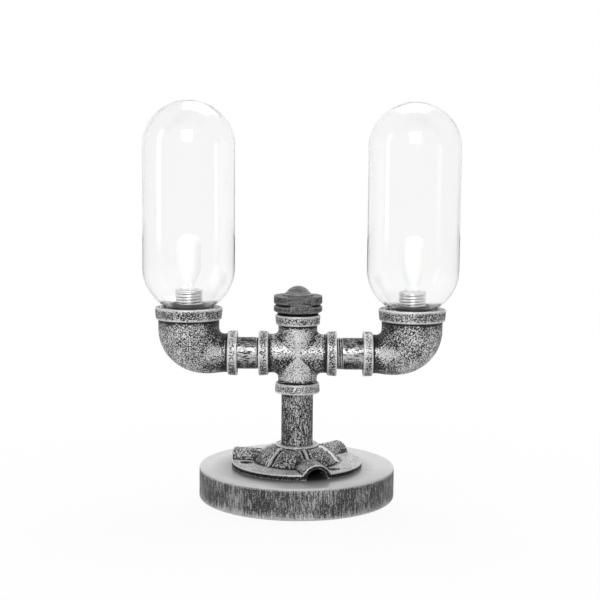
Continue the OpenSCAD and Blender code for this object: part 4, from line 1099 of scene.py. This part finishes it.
def shade_line(inset):
    """Outline of the glass from its crown to its foot, drawn in by the wall."""
    r = glass_r - inset
    neck = glass_neck_r - inset
    shoulder = 27.0 - inset
    crown = 36.4 - inset
    shoulder_x = 9.2
    straight_top = 277.8
    ball_z = 182.2
    crown_drop = math.sqrt((crown - shoulder) ** 2 - shoulder_x ** 2)
    meet = math.degrees(math.atan2(crown_drop, shoulder_x))
    ball_end = -math.degrees(math.acos((neck + 1.2) / r))
    line = arc((0, straight_top - crown_drop), crown, 90, meet, 44)
    line[0].x = 0
    line += arc((shoulder_x, straight_top), shoulder, meet, 0, 8)[1:]
    line += [Vector((r, straight_top + (ball_z - straight_top) * k / 24)) for k in range(1, 25)]
    line += arc((0, ball_z), r, 0, ball_end, 40)[1:]
    last = line[-1]
    line += [Vector((neck + 0.35, last.y - 0.8)), Vector((neck, last.y - 1.9))]
    return line


glass = blown_glass()
foot_z = 140.1
wall = 1.8
for side, mouth_x in (("left", left_x), ("right", right_x)):
    outer = shade_line(0)
    inner = shade_line(wall)
    foot = arc((glass_neck_r - wall / 2, foot_z + wall / 2), wall / 2, 0, -180, 8)
    shade = turned(outer + foot + inner[::-1], 192)
    bmesh.ops.translate(shade, verts=shade.verts, vec=(mouth_x, 0, 0))
    piece(side + "_shade", shade, glass, side + "_shade", "clear_glass", side + "_glass", sharp=60)


# Bulbs
# Two-pin capsule bulbs: an opal plastic cover, flat at its foot and round above, over a moulded
# foot. The covers glow faintly, so they read white against the white backdrop.
def opal_plastic():
    """Opal polycarbonate, moulded and satin, with faint mottling of its diffuser."""
    material, tree, shader, coords = new_material(
        "opal_polycarbonate", Roughness=0.32, Subsurface_Weight=0.25, Emission_Strength=0.22,
        Emission_Color=linear("#ffffff"))
    mottle = add(tree, "ShaderNodeTexNoise", {"Vector": coords.outputs["Object"], "Scale": grain(4),
                                              "Detail": 2.0})
    colour = add(tree, "ShaderNodeMix", {0: mottle.outputs["Fac"], 6: linear("#efefee"),
                                         7: linear("#fbfbfa")}, data_type="RGBA")
    tree.links.new(colour.outputs[2], shader.inputs["Base Color"])
    return material


opal = opal_plastic()
cover_low = 167.7
cover_full = 182.3
cover_r = 9.5
cover_top = 208.0
foot_wide = 4.4
foot_deep = 7.5


def cover_rings():
    """Rings of the bulb cover from its flat foot to its crown."""
    rings = []
    foot_steps = 16
    for k in range(foot_steps + 1):
        full = eased(k / foot_steps, -0.15, 1.0)
        rings.append((cover_low + (cover_full - cover_low) * k / foot_steps,
                      foot_wide + (cover_r - foot_wide) * full, foot_deep + (cover_r - foot_deep) * full))
    round_z = cover_top - cover_r
    rings += [(cover_full + (round_z - cover_full) * k / 6, cover_r, cover_r) for k in range(1, 7)]
    rings += [(round_z + cover_r * math.sin(t), cover_r * math.cos(t), cover_r * math.cos(t))
              for t in [math.radians(87 * k / 14) for k in range(1, 15)]]
    return [Matrix.Translation((0, 0, z)) @ Matrix.Diagonal((wide, deep, 1, 1)) for z, wide, deep in rings]


for side, mouth_x in (("left", left_x), ("right", right_x)):
    cover = drawn(cover_rings(), 96, closed=False)
    bmesh.ops.translate(cover, verts=cover.verts, vec=(mouth_x, 0, 0))
    piece(side + "_bulb_dome", cover, opal, side + "_bulb", "opal", side + "_bulb_cover", sharp=50)


# Small parts that keep their CAD shapes
# Screws, nuts, plates, the dimmer, the porcelain and the wiring are plain turned, pressed or
# moulded pieces. They keep their shapes and take the finish of the real material.
def moulded(name, dark, light, roughness, grain_mm):
    """Moulded, extruded or fired material: an even colour with a fine mottle and a slight skin."""
    material, tree, shader, coords = new_material(name, Roughness=roughness)
    mottle = add(tree, "ShaderNodeTexNoise", {"Vector": coords.outputs["Object"],
                                              "Scale": grain(grain_mm), "Detail": 3.0})
    colour = add(tree, "ShaderNodeMix", {0: mottle.outputs["Fac"], 6: linear(dark), 7: linear(light)},
                 data_type="RGBA")
    bump = add(tree, "ShaderNodeBump", {"Strength": 0.15, "Distance": 0.1 * mm,
                                        "Height": mottle.outputs["Fac"]})
    tree.links.new(colour.outputs[2], shader.inputs["Base Color"])
    tree.links.new(bump.outputs[0], shader.inputs["Normal"])
    return material


def dress(material, *names):
    """Gives CAD nodes a finish."""
    for name in names:
        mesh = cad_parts[name].data
        mesh.materials.clear()
        mesh.materials.append(material)


nylon = moulded("moulded_black_nylon", "#161617", "#2a2a2b", 0.42, 0.5)
porcelain = moulded("unglazed_porcelain", "#dddcd6", "#f0efe9", 0.55, 1.5)
lead_sleeve = moulded("extruded_lead_sleeve", "#121213", "#222223", 0.38, 0.8)
spring_brass = bare_metal("rolled_spring_brass", "#c8a25a", 0.28)
screw_steel = bare_metal("zinc_screw_steel", "#4a4a4b", 0.40)
dress(nylon, "cord_bush", "dimmer_body")
dress(porcelain, "terminal_block", "left_insert", "right_insert")
dress(lead_sleeve, "feed_leads", "left_leads", "right_leads")
dress(spring_brass, "left_contacts", "right_contacts")
dress(screw_steel, "flange_screws")
dress(zinc, "dimmer_nut", "dimmer_shaft", "knob_screw", "left_lock_nut", "right_lock_nut",
      "left_bulb_pins", "right_bulb_pins")
dress(black_steel, "top_plug", "left_holder_plate", "right_holder_plate")
dress(opal, "left_bulb_foot", "right_bulb_foot")
